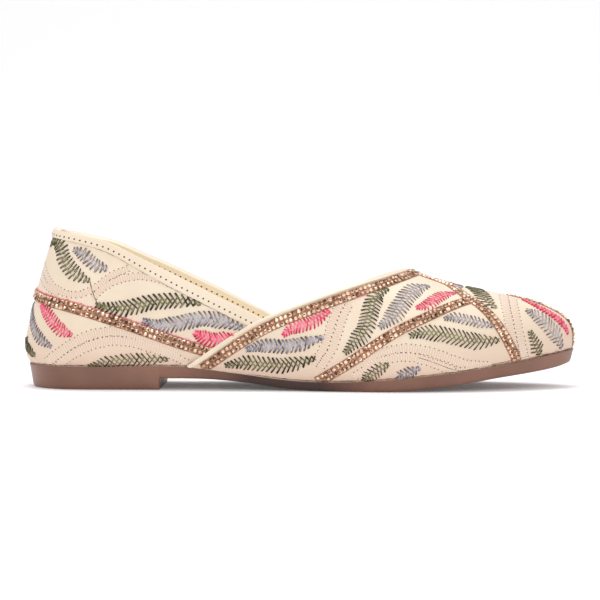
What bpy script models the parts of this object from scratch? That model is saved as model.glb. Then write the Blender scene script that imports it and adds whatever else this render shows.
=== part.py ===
"""A low-cut jutti for the right foot: a flat slip-on with a lapped vamp, a quarter and a moulded unit sole.

Frame: +X towards the toe, +Y towards the inner side of the foot, +Z up, the floor at Z = 0.
Sizes are in millimetres, and MM turns them into metres where a mesh is made.

The last is one function, surface(run, girth). Run is the distance forward from the widest place of
the heel: it is negative round the back of the heel and ends at the toe tip. Girth goes from -1 at
the sole on the outer side, over the crest at 0, to +1 at the sole on the inner side. The upper, its
binding, its edging and its stone tapes are all taken from that function.
"""

import functools
import math

import bmesh
import bpy
import numpy as np
from mathutils import Vector
from mathutils.bvhtree import BVHTree

MM = 0.001

# Overall sizes of the shoe
LENGTH = 246.8
HEEL_CENTRE = 28.0
HEEL_HALF_WIDTH = 29.0
HEEL_ARC = 44.0
TOE_SWING = 3.0
TOE_TAPER = 0.32
TOE_TIP_HEIGHT = 21.0
TOE_CAP_START = 205.0
TOE_CAP_HEIGHT = 43.6
TOE_CAP_SLOPE = -0.19
TOE_CAP_ROUND = 3.1
OUTER_NOTCH_X = 109.0
INNER_NOTCH_X = 111.5
RUN_BACK = -HEEL_ARC
RUN_TIP = LENGTH - HEEL_CENTRE

# Wall and gaps
WALL = 2.0
LAP_STEP = 1.1
LAP_FADE = 55.0
GAP = 0.3

# Sole, heel block and arch
SOLE_PROUD = 0.8
HEEL_BREAST = 62.5
HEEL_CORNER = 1.6
FOREFOOT_REST = (136.0, 161.0)

# Rounding of the sections
TUCK_ANGLE = math.radians(60)
LEVEL_SHARE = 0.3
HEEL_BACK_FULLNESS = 1.16

# Bands that lie on the upper
TAPE_WIDTH = 5.0
TAPE_HEIGHT = 1.0
EDGE_LIFT = 0.4
EDGING_WIDTH = 1.8
EDGING_HEIGHT = 0.9
BINDING_WIDTH = 6.4
BINDING_HEIGHT = 0.6
CENTRE_TAPE_START = 217.0
SIDES = {-1: "outer", 1: "inner"}

# Profiles of the bands: shares of the half width across, and of the height
TAPE_PROFILE = ((-1, 0), (0, 0), (1, 0), (1, 0.5), (0.55, 1), (-0.55, 1), (-1, 0.5))
FLAT_PROFILE = ((-1, 0), (0, 0), (1, 0), (0.96, 1), (0, 1), (-0.96, 1))
CUT_PROFILE = ((-1, 0), (1, 0), (1, 1), (-1, 1))

# Helpers that only cut: heights above the wall, depth below the floor, reach to each side
CUT_HEIGHTS = (-1.0, 5.0)
CUT_DEPTH = 6.0
CUT_REACH = 60.0
VAMP_CUT = 14.0
DROP = 9.0
RUN_ON = 4.0

# How finely the solids are faceted
TUCK_POINTS = 12
CURVE_POINTS = 48
QUARTER_COLUMNS = 22
VAMP_COLUMNS = 26
LAP_ROWS = 9
THROAT_ROWS = 11
SOLE_COLUMNS = 46
INSOLE_COLUMNS = 34
BAND_STEP = 4.6
NOSE_STEP = 1.6
NOSE_ROWS = 4
ARCH_STEPS = 14
TIP_CROWDING = 1.7
END_CROWDING = 0.6
HALVINGS = 40
JOIN_DISTANCE = 0.004
NEAR = 1e-4
SHARP_ANGLE = math.radians(40)

# Looks of the materials
LEATHER = {"colour": (0.83, 0.72, 0.57), "roughness": 0.5, "metallic": 0.0}
SOCK = {"colour": (0.83, 0.72, 0.57), "roughness": 0.7, "metallic": 0.0}
RUBBER = {"colour": (0.19, 0.095, 0.062), "roughness": 0.45, "metallic": 0.0}
STONES = {"colour": (0.52, 0.30, 0.18), "roughness": 0.3, "metallic": 0.8}

# Half widths of the last at its widest level, heel to ball
LAST = {
    "x": (28.0, 60.0, 90.0, 115.0, 138.0, 158.0, 166.0),
    "outer_half": (29.0, 28.6, 28.6, 31.2, 35.6, 38.2, 38.5),
    "inner_half": (29.0, 27.6, 26.2, 28.4, 33.2, 36.9, 37.5),
}
BALL = LAST["x"][-1]

# Where the wall meets the sole, and how far above it and beyond it the wall is widest
FEATHER = {
    "x": (28.0, 74.0, 96.0, 122.0, 144.0, 168.0, 203.0, 232.0, 246.8),
    "height": (10.5, 10.5, 7.9, 4.8, 4.5, 6.0, 9.8, 14.6, 17.3),
    "rise": (8.8, 9.5, 10.0, 10.0, 9.5, 9.0, 7.0, 4.8, 3.7),
    "tuck": (3.0, 2.4, 2.2, 2.2, 2.2, 2.0, 1.6, 1.2, 0.4),
}

# The crest of the last and how full its sections are, heel to toe cap
CREST = {
    "x": (28.0, 60.0, 90.0, 115.0, 140.0, 158.0, 173.0, 187.0, 205.0, 246.8),
    "height": (103.0, 92.0, 82.0, 74.0, 65.0, 58.0, 52.4, 47.4, 43.6, 36.0),
    "fullness": (1.7, 1.7, 1.7, 1.65, 1.6, 1.62, 1.7, 1.85, 2.0, 2.2),
}

# Underside of the sole: the arch forward of the heel block, and the spring of the toe
ARCH = {
    "x": (50.0, 80.0, 92.0, 104.0, 118.0, 136.0),
    "height": (5.0, 4.9, 4.2, 2.9, 0.9, 0.0),
}
TOE_SPRING = {
    "x": (161.0, 176.0, 194.0, 212.0, 230.0, 240.0, 246.8),
    "height": (0.0, 0.8, 2.6, 5.3, 7.6, 9.2, 10.9),
}

# Edge of the sole and of the insole, from the underside to the top
SOLE_EDGE = {
    "share_up": (0.0, 0.09, 0.28, 1.0),
    "drawn_in": (2.6, 1.6, 1.2, 0.0),
}
INSOLE_EDGE = {
    "height": (0.0, 2.2, 3.0),
    "drawn_in": (0.1, 0.1, 0.8),
}

# Height of the quarter's top edge, from the back of the heel to where the vamp covers it
TOPLINE = {
    "run": (-44.0, -22.0, 8.0, 26.0, 39.0, 60.0, 81.0, 86.0),
    "height": (71.5, 70.3, 65.6, 58.4, 52.7, 42.6, 31.6, 29.0),
}

# Height of the vamp's rear edge, from the sole up to the throat
VAMP_EDGE = {
    "x": (75.5, 93.0, 109.0, 132.4, 151.7, 172.5),
    "height": (10.5, 22.6, 31.6, 40.4, 46.5, 52.5),
}

# How much lower the same edge lies on the inner side
INNER_DROP = {
    "x": (75.5, 93.0, 109.0, 118.0, 130.0, 148.0, 156.0, 166.0),
    "drop": (0.0, 1.7, 2.8, 2.8, 2.2, 1.5, 0.7, 0.0),
}

# Centre lines of the stone tapes. Up is the share of the way from the sole to the crest.
CROSS_TAPE = {
    "x": (132.4, 148.0, 165.4, 182.8, 200.2),
    "up": (0.0, 0.126, 0.292, 0.452, 0.653),
}
TOE_TAPE = {
    "x": (177.0, 185.5, 190.5, 197.4, 206.6, 213.9, 219.4, 221.3),
    "up": (0.955, 0.943, 0.893, 0.723, 0.542, 0.33, 0.102, 0.0),
}
HEEL_TAPE = {
    "run": (-44.0, -9.7, 16.6, 44.0, 58.6),
    "height": (42.0, 37.8, 30.2, 20.8, 16.4),
}


def smooth(table, column, place, level_start=False, level_end=False):
    """Value of a table's column at a place along its first column: a cubic through its rows."""
    xs, ys = next(iter(table.values())), table[column]
    last = len(xs) - 1
    place = min(max(place, xs[0]), xs[last])
    k = max(1, min(last, int(np.searchsorted(xs, place))))

    def slope(i):
        if (level_start and i == 0) or (level_end and i == last):
            return 0.0
        low, high = max(i - 1, 0), min(i + 1, last)
        return (ys[high] - ys[low]) / (xs[high] - xs[low])

    span = xs[k] - xs[k - 1]
    t = (place - xs[k - 1]) / span
    start, end = slope(k - 1) * span, slope(k) * span
    rise = ys[k] - ys[k - 1]
    return ys[k - 1] + t * (start + t * (3 * rise - 2 * start - end + t * (start + end - 2 * rise)))


def half_width(x, side):
    """Half width of the last at its widest level. Side is -1 on the outer side and +1 on the inner."""
    column = "outer_half" if side < 0 else "inner_half"
    if x <= BALL:
        return smooth(LAST, column, x, level_start=True, level_end=True)
    share = min((x - BALL) / (LENGTH - BALL), 1.0)
    return LAST[column][-1] * math.sqrt(1 - share**2) * (1 - TOE_TAPER * share**2)


def centre(x):
    """Sideways place of the crest line, which swings to the inner side towards the toe."""
    share = max(0.0, (x - BALL) / (LENGTH - BALL))
    return TOE_SWING * share * share


def crest_height(x):
    """Height of the last along its crest: the table up to the toe cap, then a rounded drop to the tip."""
    if x <= TOE_CAP_START:
        return smooth(CREST, "height", x)
    share = min((x - TOE_CAP_START) / (LENGTH - TOE_CAP_START), 1.0)
    line = TOE_CAP_HEIGHT + TOE_CAP_SLOPE * (x - TOE_CAP_START)
    return TOE_TIP_HEIGHT + (line - TOE_TIP_HEIGHT) * (1 - share**TOE_CAP_ROUND) ** (1 / TOE_CAP_ROUND)


def outline_normal(x, side):
    """Outward direction of the widest outline in plan, for the part forward of the heel."""
    if x > LENGTH - NEAR:
        return np.array([1.0, 0.0])
    step = 0.02
    low, high = max(x - step, HEEL_CENTRE), min(x + step, LENGTH)
    rise = centre(high) + side * half_width(high, side) - centre(low) - side * half_width(low, side)
    normal = np.array([-rise * side, (high - low)])
    normal /= np.linalg.norm(normal)
    return np.array([normal[0], side * normal[1]])


@functools.lru_cache(maxsize=None)
def section(run, side):
    """Points of half a section, from the sole up to the crest, and their shares of its length."""
    x = HEEL_CENTRE + max(run, 0.0)
    height, rise, tuck = (smooth(FEATHER, column, x) for column in ("height", "rise", "tuck"))
    widest = height + rise
    crest = max(crest_height(x), widest + NEAR)
    fullness = smooth(CREST, "fullness", x)
    if run >= 0:
        middle = np.array([x, centre(x)])
        reach = np.array([0.0, side * half_width(x, side)])
        outward = outline_normal(x, side)
    else:
        turn = (1 + run / HEEL_ARC) * math.pi / 2
        middle = np.array([HEEL_CENTRE, 0.0])
        reach = np.array([-HEEL_CENTRE * math.cos(turn), side * HEEL_HALF_WIDTH * math.sin(turn)])
        outward = np.array([-math.cos(turn) / HEEL_CENTRE, side * math.sin(turn) / HEEL_HALF_WIDTH])
        outward /= np.linalg.norm(outward)
        fullness += (HEEL_BACK_FULLNESS - fullness) * math.cos(turn) ** 2

    points = []
    for k in range(TUCK_POINTS):
        turn = TUCK_ANGLE * (1 - k / TUCK_POINTS)
        drawn_in = tuck * (1 - math.cos(turn)) / (1 - math.cos(TUCK_ANGLE))
        plan = middle + reach - outward * drawn_in
        points.append((*plan, widest - rise * math.sin(turn) / math.sin(TUCK_ANGLE)))
    for k in range(CURVE_POINTS + 1):
        turn = math.pi / 2 * k / CURVE_POINTS
        plan = middle + reach * max(math.cos(turn), 0.0) ** (2 / fullness)
        points.append((*plan, widest + (crest - widest) * math.sin(turn) ** (2 / fullness)))
    points = np.array(points)
    steps = np.linalg.norm(np.diff(points, axis=0), axis=1)
    shares = np.concatenate([[0.0], np.cumsum(steps)])
    return points, shares / shares[-1]


def surface(run, girth):
    """Point of the outside of the upper, in millimetres. It carries on round the heel and the toe tip."""
    if run < RUN_BACK:
        run, girth = 2 * RUN_BACK - run, -girth
    if run > RUN_TIP:
        run, girth = 2 * RUN_TIP - run, -girth
    side = -1 if girth < 0 else 1
    points, shares = section(round(run, 6), side)
    up = 1 - min(abs(girth), 1.0)
    return np.array([np.interp(up, shares, points[:, axis]) for axis in range(3)])


def normal(run, girth):
    """Outward normal of the surface. At the toe tip it is the mean of both sides' normals just behind."""
    along, around = 0.4, 0.01
    if run > RUN_TIP - along / 2:
        both = normal(RUN_TIP - along, girth) + normal(RUN_TIP - along, -girth)
        return both / np.linalg.norm(both)
    girth = min(max(girth, -1 + around), 1 - around)
    forward = surface(run + along, girth) - surface(run - along, girth)
    inward = surface(run, girth + around) - surface(run, girth - around)
    out = np.cross(forward, inward)
    return out / np.linalg.norm(out)


def up_at_height(run, side, height):
    """Share of a section, from the sole, at which it reaches a height."""
    points, shares = section(round(run, 6), side)
    return float(np.interp(height, points[:, 2], shares))


def edge_height(x, side):
    """Height of the vamp's rear edge on the outer side, -1, or on the inner."""
    height = smooth(VAMP_EDGE, "height", x)
    return height if side < 0 else height - smooth(INNER_DROP, "drop", x, level_start=True, level_end=True)


def edge_run(up, side):
    """Run of the vamp's rear edge at a share of the section, found by halving."""
    low, high = VAMP_EDGE["x"][0] - HEEL_CENTRE, VAMP_EDGE["x"][-1] - HEEL_CENTRE
    for _ in range(HALVINGS):
        middle = (low + high) / 2
        above = surface(middle, side * (1 - up))[2] > edge_height(HEEL_CENTRE + middle, side)
        low, high = (middle, high) if above else (low, middle)
    return (low + high) / 2


def topline_up(run, side):
    """Share of a section, from the sole, at which the quarter's top edge crosses it."""
    return up_at_height(max(run, RUN_BACK), side, smooth(TOPLINE, "height", run, level_start=True))


def foot_point(run, side, out):
    """Point at the sole line, moved out level by a distance."""
    point = surface(run, side * 1.0)
    level = normal(run, side * 1.0) * (1, 1, 0)
    return point + level / np.linalg.norm(level) * out


def lap_lift(run, girth):
    """How far the vamp stands off the last: one layer where it laps the quarter, fading forward and up."""
    side = -1 if girth < 0 else 1
    up = 1 - abs(girth)
    behind = min(max(1 - (run - edge_run(up, side)) / LAP_FADE, 0.0), 1.0)
    low = min((1 - up) / (1 - notch_up(side)), 1.0)
    return LAP_STEP * behind * behind * low


def no_lift(_run, _girth):
    """The quarter lies on the last itself."""
    return 0.0


@functools.lru_cache(maxsize=None)
def notch_up(side):
    """Share of the section at a side's notch, where top edge and vamp edge meet."""
    x = OUTER_NOTCH_X if side < 0 else INNER_NOTCH_X
    return up_at_height(x - HEEL_CENTRE, side, edge_height(x, side))


def wall_point(run, girth, lift):
    """Point of the wall. Near the sole it is moved level, so that the wall stands flat on the sole."""
    full = normal(run, girth)
    level = full * (1, 1, 0)
    share = min((1 - abs(girth)) / LEVEL_SHARE, 1.0)
    way = full * share + level / np.linalg.norm(level) * (1 - share) if share < 1 else full
    return surface(run, girth) + way / np.linalg.norm(way) * lift


def quarter_grid(side):
    """Rows of (run, girth) over the quarter: from heel back to the lap line, sole to top edge."""
    rows = []
    for j in range(LAP_ROWS + 1):
        up_lap = notch_up(side) * j / LAP_ROWS
        run_lap = edge_run(up_lap, side)
        share_back, share_lap = j / LAP_ROWS, up_lap / topline_up(run_lap, side)
        row = []
        for i in range(QUARTER_COLUMNS + 1):
            t = i / QUARTER_COLUMNS
            run = RUN_BACK + (run_lap - RUN_BACK) * t
            up = (share_back + (share_lap - share_back) * t) * topline_up(run, side)
            row.append((run, side * (1 - up)))
        row[-1] = (run_lap, side * (1 - up_lap))
        rows.append(row)
    return rows


def row_ups(notch):
    """Shares of the section at the vamp's rows: from the sole to a notch, and from there to the crest."""
    below = [notch * j / LAP_ROWS for j in range(LAP_ROWS)]
    return below + [notch + (1 - notch) * j / THROAT_ROWS for j in range(THROAT_ROWS + 1)]


def vamp_grid(side):
    """Rows of (run, girth) over the vamp, from its rear edge to the toe tip, where both sides share their rows."""
    tip_notch = (notch_up(-1) + notch_up(1)) / 2
    shares = [1 - (1 - i / VAMP_COLUMNS) ** TIP_CROWDING for i in range(VAMP_COLUMNS + 1)]
    rows = []
    for up_edge, up_tip in zip(row_ups(notch_up(side)), row_ups(tip_notch)):
        start = edge_run(up_edge, side)
        row = []
        for share in shares:
            up = up_edge + (up_tip - up_edge) * share
            row.append((start + (RUN_TIP - start) * share, side * (1 - up)))
        rows.append(row)
    return rows


def new_mesh(points, faces, name):
    """A mesh object from points in millimetres, with doubled points joined and its faces turned outwards."""
    mesh = bpy.data.meshes.new(name)
    made = bmesh.new()
    verts = [made.verts.new([value * MM for value in point]) for point in points]
    for face in faces:
        made.faces.new([verts[k] for k in face])
    bmesh.ops.remove_doubles(made, verts=made.verts, dist=JOIN_DISTANCE * MM)
    bmesh.ops.recalc_face_normals(made, faces=made.faces)
    if made.calc_volume(signed=True) < 0:
        bmesh.ops.reverse_faces(made, faces=made.faces)
    made.to_mesh(mesh)
    made.free()
    return bpy.data.objects.new(name, mesh)


def build_upper():
    """The upper: one hollow wall, open at the collar and underneath, stepped where the vamp laps over."""
    points, faces = [], []

    def add_grid(rows, lift_of):
        first = len(points)
        points.extend(wall_point(run, girth, lift_of(run, girth)) for row in rows for run, girth in row)
        width = len(rows[0])
        return [[first + j * width + i for i in range(width)] for j in range(len(rows))]

    def fill(grid):
        for low, high in zip(grid, grid[1:]):
            faces.extend((low[i], low[i + 1], high[i + 1], high[i]) for i in range(len(low) - 1))

    def rim(outside, inside):
        faces.extend(
            (outside[k], outside[k + 1], inside[k + 1], inside[k]) for k in range(len(outside) - 1)
        )

    for side in (-1, 1):
        quarter, vamp = quarter_grid(side), vamp_grid(side)
        quarter_out = add_grid(quarter, no_lift)
        vamp_out = add_grid(vamp, lap_lift)
        quarter_in = add_grid(quarter, lambda run, girth: -WALL)
        vamp_in = add_grid(vamp, lambda run, girth: -WALL)
        for grid in (quarter_out, vamp_out, quarter_in, vamp_in):
            fill(grid)
        lap_q = [row[-1] for row in quarter_out]
        lap_v = [row[0] for row in vamp_out]
        edge_in = [row[0] for row in vamp_in]
        rim(lap_q, lap_v[: LAP_ROWS + 1])
        rim(quarter_out[0], quarter_in[0])
        rim(quarter_out[-1], quarter_in[-1])
        rim(vamp_out[0][1:], vamp_in[0][1:])
        faces.append((lap_q[0], vamp_out[0][0], vamp_out[0][1], vamp_in[0][1], vamp_in[0][0]))
        rim(lap_v[LAP_ROWS + 1 :], edge_in[LAP_ROWS + 1 :])
        k = LAP_ROWS
        faces.append((lap_q[k], lap_v[k], lap_v[k + 1], edge_in[k + 1], edge_in[k]))
    return new_mesh(points, faces, "upper")


def plan_runs(columns):
    """Runs from the back of the heel to the toe tip, closer together at both round ends."""
    runs = []
    for k in range(columns + 1):
        t = k / columns
        eased = t - END_CROWDING * math.sin(2 * math.pi * t) / (2 * math.pi)
        runs.append(RUN_BACK + (RUN_TIP - RUN_BACK) * eased)
    return runs


def slab(name, rings, runs):
    """A closed plate lofted through rings. A ring gives the point at a run and side, from bottom to top."""
    points, faces = [], []
    grids = []
    for ring in rings:
        grid = {}
        for side in (-1, 1):
            for k, run in enumerate(runs):
                grid[side, k] = len(points)
                points.append(ring(run, side))
        grids.append(grid)
    last = len(runs) - 1
    for k in range(last):
        for grid in (grids[0], grids[-1]):
            faces.append((grid[-1, k], grid[-1, k + 1], grid[1, k + 1], grid[1, k]))
        for low, high in zip(grids, grids[1:]):
            for side in (-1, 1):
                faces.append((low[side, k], low[side, k + 1], high[side, k + 1], high[side, k]))
    return new_mesh(points, faces, name)


def underside(x):
    """Height of the sole's underside before the arch is cut: flat back to the heel, sprung at the toe."""
    return smooth(TOE_SPRING, "height", x) if x > FOREFOOT_REST[1] else 0.0


def build_outsole():
    """The unit sole: a plate with toe spring, with the arch cut out between heel block and forefoot."""

    def ring(drawn_in, share_up):
        def point(run, side):
            x, y, top = foot_point(run, side, SOLE_PROUD - drawn_in)
            low = underside(surface(run, side)[0])
            return x, y, low + (top - GAP - low) * share_up

        return point

    rings = [ring(*row) for row in zip(SOLE_EDGE["drawn_in"], SOLE_EDGE["share_up"])]
    sole = slab("outsole", rings, plan_runs(SOLE_COLUMNS))
    cut(sole, build_arch_cutter())
    return sole


def build_arch_cutter():
    """The space under the waist, drawn as a side outline and carried right across the sole."""
    corner = [
        (
            HEEL_BREAST + HEEL_CORNER * (1 - math.cos(turn)),
            smooth(ARCH, "height", HEEL_BREAST) - HEEL_CORNER * (1 - math.sin(turn)),
        )
        for turn in (0, math.pi / 6, math.pi / 3)
    ]
    start = HEEL_BREAST + HEEL_CORNER
    xs = [start + (FOREFOOT_REST[0] - start) * k / ARCH_STEPS for k in range(ARCH_STEPS + 1)]
    arch = [(x, smooth(ARCH, "height", x)) for x in xs]
    outline = [(HEEL_BREAST, -CUT_DEPTH), *corner, *arch, (FOREFOOT_REST[0], -CUT_DEPTH)]
    points = [(x, y, z) for y in (-CUT_REACH, CUT_REACH) for x, z in outline]
    count = len(outline)
    faces = [tuple(range(count)), tuple(range(count, 2 * count))]
    faces += [(k, (k + 1) % count, count + (k + 1) % count, count + k) for k in range(count)]
    return as_cutter(new_mesh(points, faces, "arch_cutter"))


def build_insole():
    """The padded sock: a thin plate inside the foot of the wall, on the sole."""

    def ring(drawn_in, height):
        def point(run, side):
            x, y, z = foot_point(run, side, -WALL - GAP - drawn_in)
            return x, y, z + height

        return point

    rings = [ring(*row) for row in zip(INSOLE_EDGE["drawn_in"], INSOLE_EDGE["height"])]
    return slab("insole", rings, plan_runs(INSOLE_COLUMNS))


def table_path(table, side, steps=40):
    """(run, girth) places along a tape's table of x and up."""
    start, end = table["x"][0], table["x"][-1]
    xs = [start + (end - start) * k / steps for k in range(steps + 1)]
    return [(x - HEEL_CENTRE, side * (1 - smooth(table, "up", x))) for x in xs]


def round_path(half):
    """Joins a path on the outer side, taken backwards, to the same path on the inner side."""
    return half(-1)[::-1] + half(1)[1:]


def vamp_edge_path(side, steps=60):
    """The vamp's rear edge, from the crest down to the sole."""
    ups = [1 - k / steps for k in range(steps + 1)]
    return [(edge_run(up, side), side * (1 - up)) for up in ups]


def height_path(table):
    """A half path round the quarter, from the back forward, along a table of run and height."""
    end = table["run"][-1]

    def half(side, steps=40):
        places = []
        for k in range(steps + 1):
            run = RUN_BACK + (end - RUN_BACK) * k / steps
            height = smooth(table, "height", run, level_start=True)
            places.append((run, side * (1 - up_at_height(run, side, height))))
        return places

    return half


def crest_path(steps=24):
    """The crest from the start of the centre tape to the toe tip, and down the tip to the sole."""
    start = CENTRE_TAPE_START - HEEL_CENTRE
    runs = [start + (RUN_TIP - start) * (1 - (1 - k / steps) ** 2) for k in range(steps + 1)]
    return [(run, 0.0) for run in runs] + [(RUN_TIP, k / NOSE_ROWS) for k in range(1, NOSE_ROWS + 1)]


def build_tree(upper):
    """What the bands are dropped onto: the upper, carried straight down a little below its foot."""
    points = [vertex.co / MM for vertex in upper.data.vertices]
    faces = [list(face.vertices) for face in upper.data.polygons]
    runs = plan_runs(2 * SOLE_COLUMNS)
    for side in SIDES:
        first = len(points)
        for run in runs:
            lift = lap_lift(run, side) if run > edge_run(0.0, side) else 0.0
            foot = wall_point(run, side, lift)
            points += [Vector(foot), Vector(foot - np.array([0.0, 0.0, DROP]))]
        for k in range(first, len(points) - 3, 2):
            faces.append([k, k + 1, k + 3, k + 2])
    return BVHTree.FromPolygons(points, faces)


def stations(places, aside, run_on, step):
    """Evenly spaced frames (point, out, across) along a path, carried on past its ends by two lengths."""
    points = np.array([surface(run, girth) for run, girth in places])
    outs = np.array([normal(run, girth) for run, girth in places])
    across = np.cross(outs, np.gradient(points, axis=0))
    points = points + across / np.linalg.norm(across, axis=1)[:, None] * aside
    first, last = points[0] - points[1], points[-1] - points[-2]
    points[0] += first / np.linalg.norm(first) * run_on[0]
    points[-1] += last / np.linalg.norm(last) * run_on[1]
    lengths = np.concatenate([[0.0], np.cumsum(np.linalg.norm(np.diff(points, axis=0), axis=1))])
    count = max(2, round(lengths[-1] / step))
    even = np.linspace(0.0, lengths[-1], count + 1)
    points = np.stack([np.interp(even, lengths, points[:, axis]) for axis in range(3)], axis=1)
    outs = np.stack([np.interp(even, lengths, outs[:, axis]) for axis in range(3)], axis=1)
    forward = np.gradient(points, axis=0)
    across = np.cross(outs, forward)
    across /= np.linalg.norm(across, axis=1)[:, None]
    outs /= np.linalg.norm(outs, axis=1)[:, None]
    return zip(points, outs, across)


def band(name, places, width, heights, profile, aside=0.0, run_on=(RUN_ON, RUN_ON), step=BAND_STEP):
    """A strip along a path. Each corner of its profile is dropped onto the upper and then lifted off it."""
    low, high = heights
    points, faces = [], []
    for point, out, across in stations(places, aside, run_on, step):
        for share_across, share_up in profile:
            start = point + across * (share_across * width / 2)
            hit = UPPER_TREE.ray_cast(Vector(start + out * DROP), Vector(-out), 2 * DROP)[0]
            base = start if hit is None else np.array(hit)
            points.append(base + out * (low + (high - low) * share_up))
    count = len(profile)
    rings = len(points) // count
    for ring in range(rings - 1):
        for k in range(count):
            a, b = ring * count + k, ring * count + (k + 1) % count
            faces.append((a, b, b + count, a + count))
    faces += [tuple(range(count)), tuple(range(len(points) - count, len(points)))]
    return new_mesh(points, faces, name)


def band_cutter(name, places, width, aside=0.0):
    """A taller strip, wider by a gap on each side, that makes room for a band in the pieces it crosses."""
    return as_cutter(band(name, places, width + 2 * GAP, CUT_HEIGHTS, CUT_PROFILE, aside))


def build_foot_cutter():
    """Everything below the line where the trims stop, just above the sole."""

    def ring(height, share):
        def point(run, side):
            x, y, z = foot_point(run, side, CUT_DEPTH)
            return x, y, z * share + height

        return point

    rings = (ring(-CUT_DEPTH, 0.0), ring(2 * GAP, 1.0))
    return as_cutter(slab("foot_cutter", rings, plan_runs(SOLE_COLUMNS)))


def tape(name, places, aside=0.0, run_on=(RUN_ON, RUN_ON), step=BAND_STEP):
    """A stone tape along a path on the upper."""
    return band(name, places, TAPE_WIDTH, (GAP, GAP + TAPE_HEIGHT), TAPE_PROFILE, aside, run_on, step)


def build_bands():
    """Binding, edging and stone tapes, each cut back where it meets the vamp, another tape or the sole."""
    edge = round_path(vamp_edge_path)[::-1]
    tape_aside = EDGING_WIDTH + 2 * GAP + TAPE_WIDTH / 2
    vamp_cutter = band_cutter("vamp_cutter", edge, VAMP_CUT, VAMP_CUT / 2)
    throat_cutter = band_cutter("throat_cutter", edge, TAPE_WIDTH, tape_aside)
    foot_cutter = build_foot_cutter()

    heights = (EDGE_LIFT, EDGE_LIFT + BINDING_HEIGHT)
    aside = BINDING_WIDTH / 2 + GAP
    path = round_path(height_path(TOPLINE))
    binding = band("topline_binding", path, BINDING_WIDTH, heights, FLAT_PROFILE, aside)
    cut(binding, vamp_cutter)
    finish(binding, LEATHER)

    heights = (EDGE_LIFT, EDGE_LIFT + EDGING_HEIGHT)
    aside = EDGING_WIDTH / 2 + GAP
    edging = band("vamp_edging", edge, EDGING_WIDTH, heights, TAPE_PROFILE, aside)
    cut(edging, foot_cutter)
    finish(edging, LEATHER)

    heel = tape("heel_trim", round_path(height_path(HEEL_TAPE)))
    cut(heel, vamp_cutter)
    finish(heel, STONES)
    throat = tape("throat_trim", edge, tape_aside)
    cut(throat, foot_cutter)
    finish(throat, STONES)
    build_vamp_tapes(throat_cutter, foot_cutter)


def build_vamp_tapes(throat_cutter, foot_cutter):
    """On each side the tape across the vamp and the one from the throat to the sole, then the toe's."""
    for side, side_name in SIDES.items():
        toe_path = table_path(TOE_TAPE, side)
        toe_cutter = band_cutter(f"toe_cutter_{side_name}", toe_path, TAPE_WIDTH)
        toe = tape(f"toe_trim_{side_name}", toe_path, run_on=(0, RUN_ON))
        cross = tape(f"cross_trim_{side_name}", table_path(CROSS_TAPE, side), run_on=(RUN_ON, 0))
        for cutter in (throat_cutter, foot_cutter):
            cut(toe, cutter)
        for cutter in (toe_cutter, foot_cutter):
            cut(cross, cutter)
        finish(toe, STONES)
        finish(cross, STONES)
    centre_tape = tape("centre_trim", crest_path(), run_on=(0, RUN_ON), step=NOSE_STEP)
    cut(centre_tape, foot_cutter)
    finish(centre_tape, STONES)


def as_cutter(obj):
    """Marks a helper that only cuts other pieces."""
    obj.hide_render = True
    obj.display_type = "WIRE"
    CUTTERS.objects.link(obj)
    obj.parent = SHOE
    return obj


def cut(obj, cutter):
    """Takes the cutter's space out of a piece."""
    modifier = obj.modifiers.new("cut_" + cutter.name, "BOOLEAN")
    modifier.operation = "DIFFERENCE"
    modifier.object = cutter


def finish(obj, look):
    """Links a piece to the shoe, with smooth shading and its own material."""
    material = bpy.data.materials.new(obj.name)
    material.use_nodes = True
    shader = material.node_tree.nodes["Principled BSDF"]
    shader.inputs["Base Color"].default_value = (*look["colour"], 1.0)
    shader.inputs["Roughness"].default_value = look["roughness"]
    shader.inputs["Metallic"].default_value = look["metallic"]
    obj.data.materials.append(material)
    obj.data.shade_smooth()
    obj.data.set_sharp_from_angle(angle=SHARP_ANGLE)
    PIECES.objects.link(obj)
    obj.parent = SHOE


def stand_on_origin():
    """Moves the shoe so that the middle of its box's underside is the origin."""
    bpy.context.view_layer.update()
    graph = bpy.context.evaluated_depsgraph_get()
    corners = [
        np.array(corner)
        for piece in PIECES.objects
        if piece.type == "MESH"
        for corner in piece.evaluated_get(graph).bound_box
    ]
    low, high = np.min(corners, axis=0), np.max(corners, axis=0)
    SHOE.location = (-(low[0] + high[0]) / 2, -(low[1] + high[1]) / 2, -low[2])


def new_collection(name):
    """A collection of the scene."""
    made = bpy.data.collections.new(name)
    bpy.context.scene.collection.children.link(made)
    return made


for leftover in list(bpy.data.objects):
    bpy.data.objects.remove(leftover)
PIECES = new_collection("jutti")
CUTTERS = new_collection("cutters")
SHOE = bpy.data.objects.new("shoe", None)
PIECES.objects.link(SHOE)

finish(build_outsole(), RUBBER)
UPPER = build_upper()
finish(UPPER, LEATHER)
finish(build_insole(), SOCK)
UPPER_TREE = build_tree(UPPER)
build_bands()
stand_on_origin()
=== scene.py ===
# %% [markdown]
# An embroidered jutti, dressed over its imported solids. The frame gives every solid at its true size and
# place, in metres, so each piece here is made in that frame and rides on the one body, "root". The toe
# points along +X, the outer side of this right shoe faces -Y, and the floor is Z = 0.

# %% Load the frame
import math

import bpy
import numpy as np
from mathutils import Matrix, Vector
from mathutils.bvhtree import BVHTree


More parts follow.
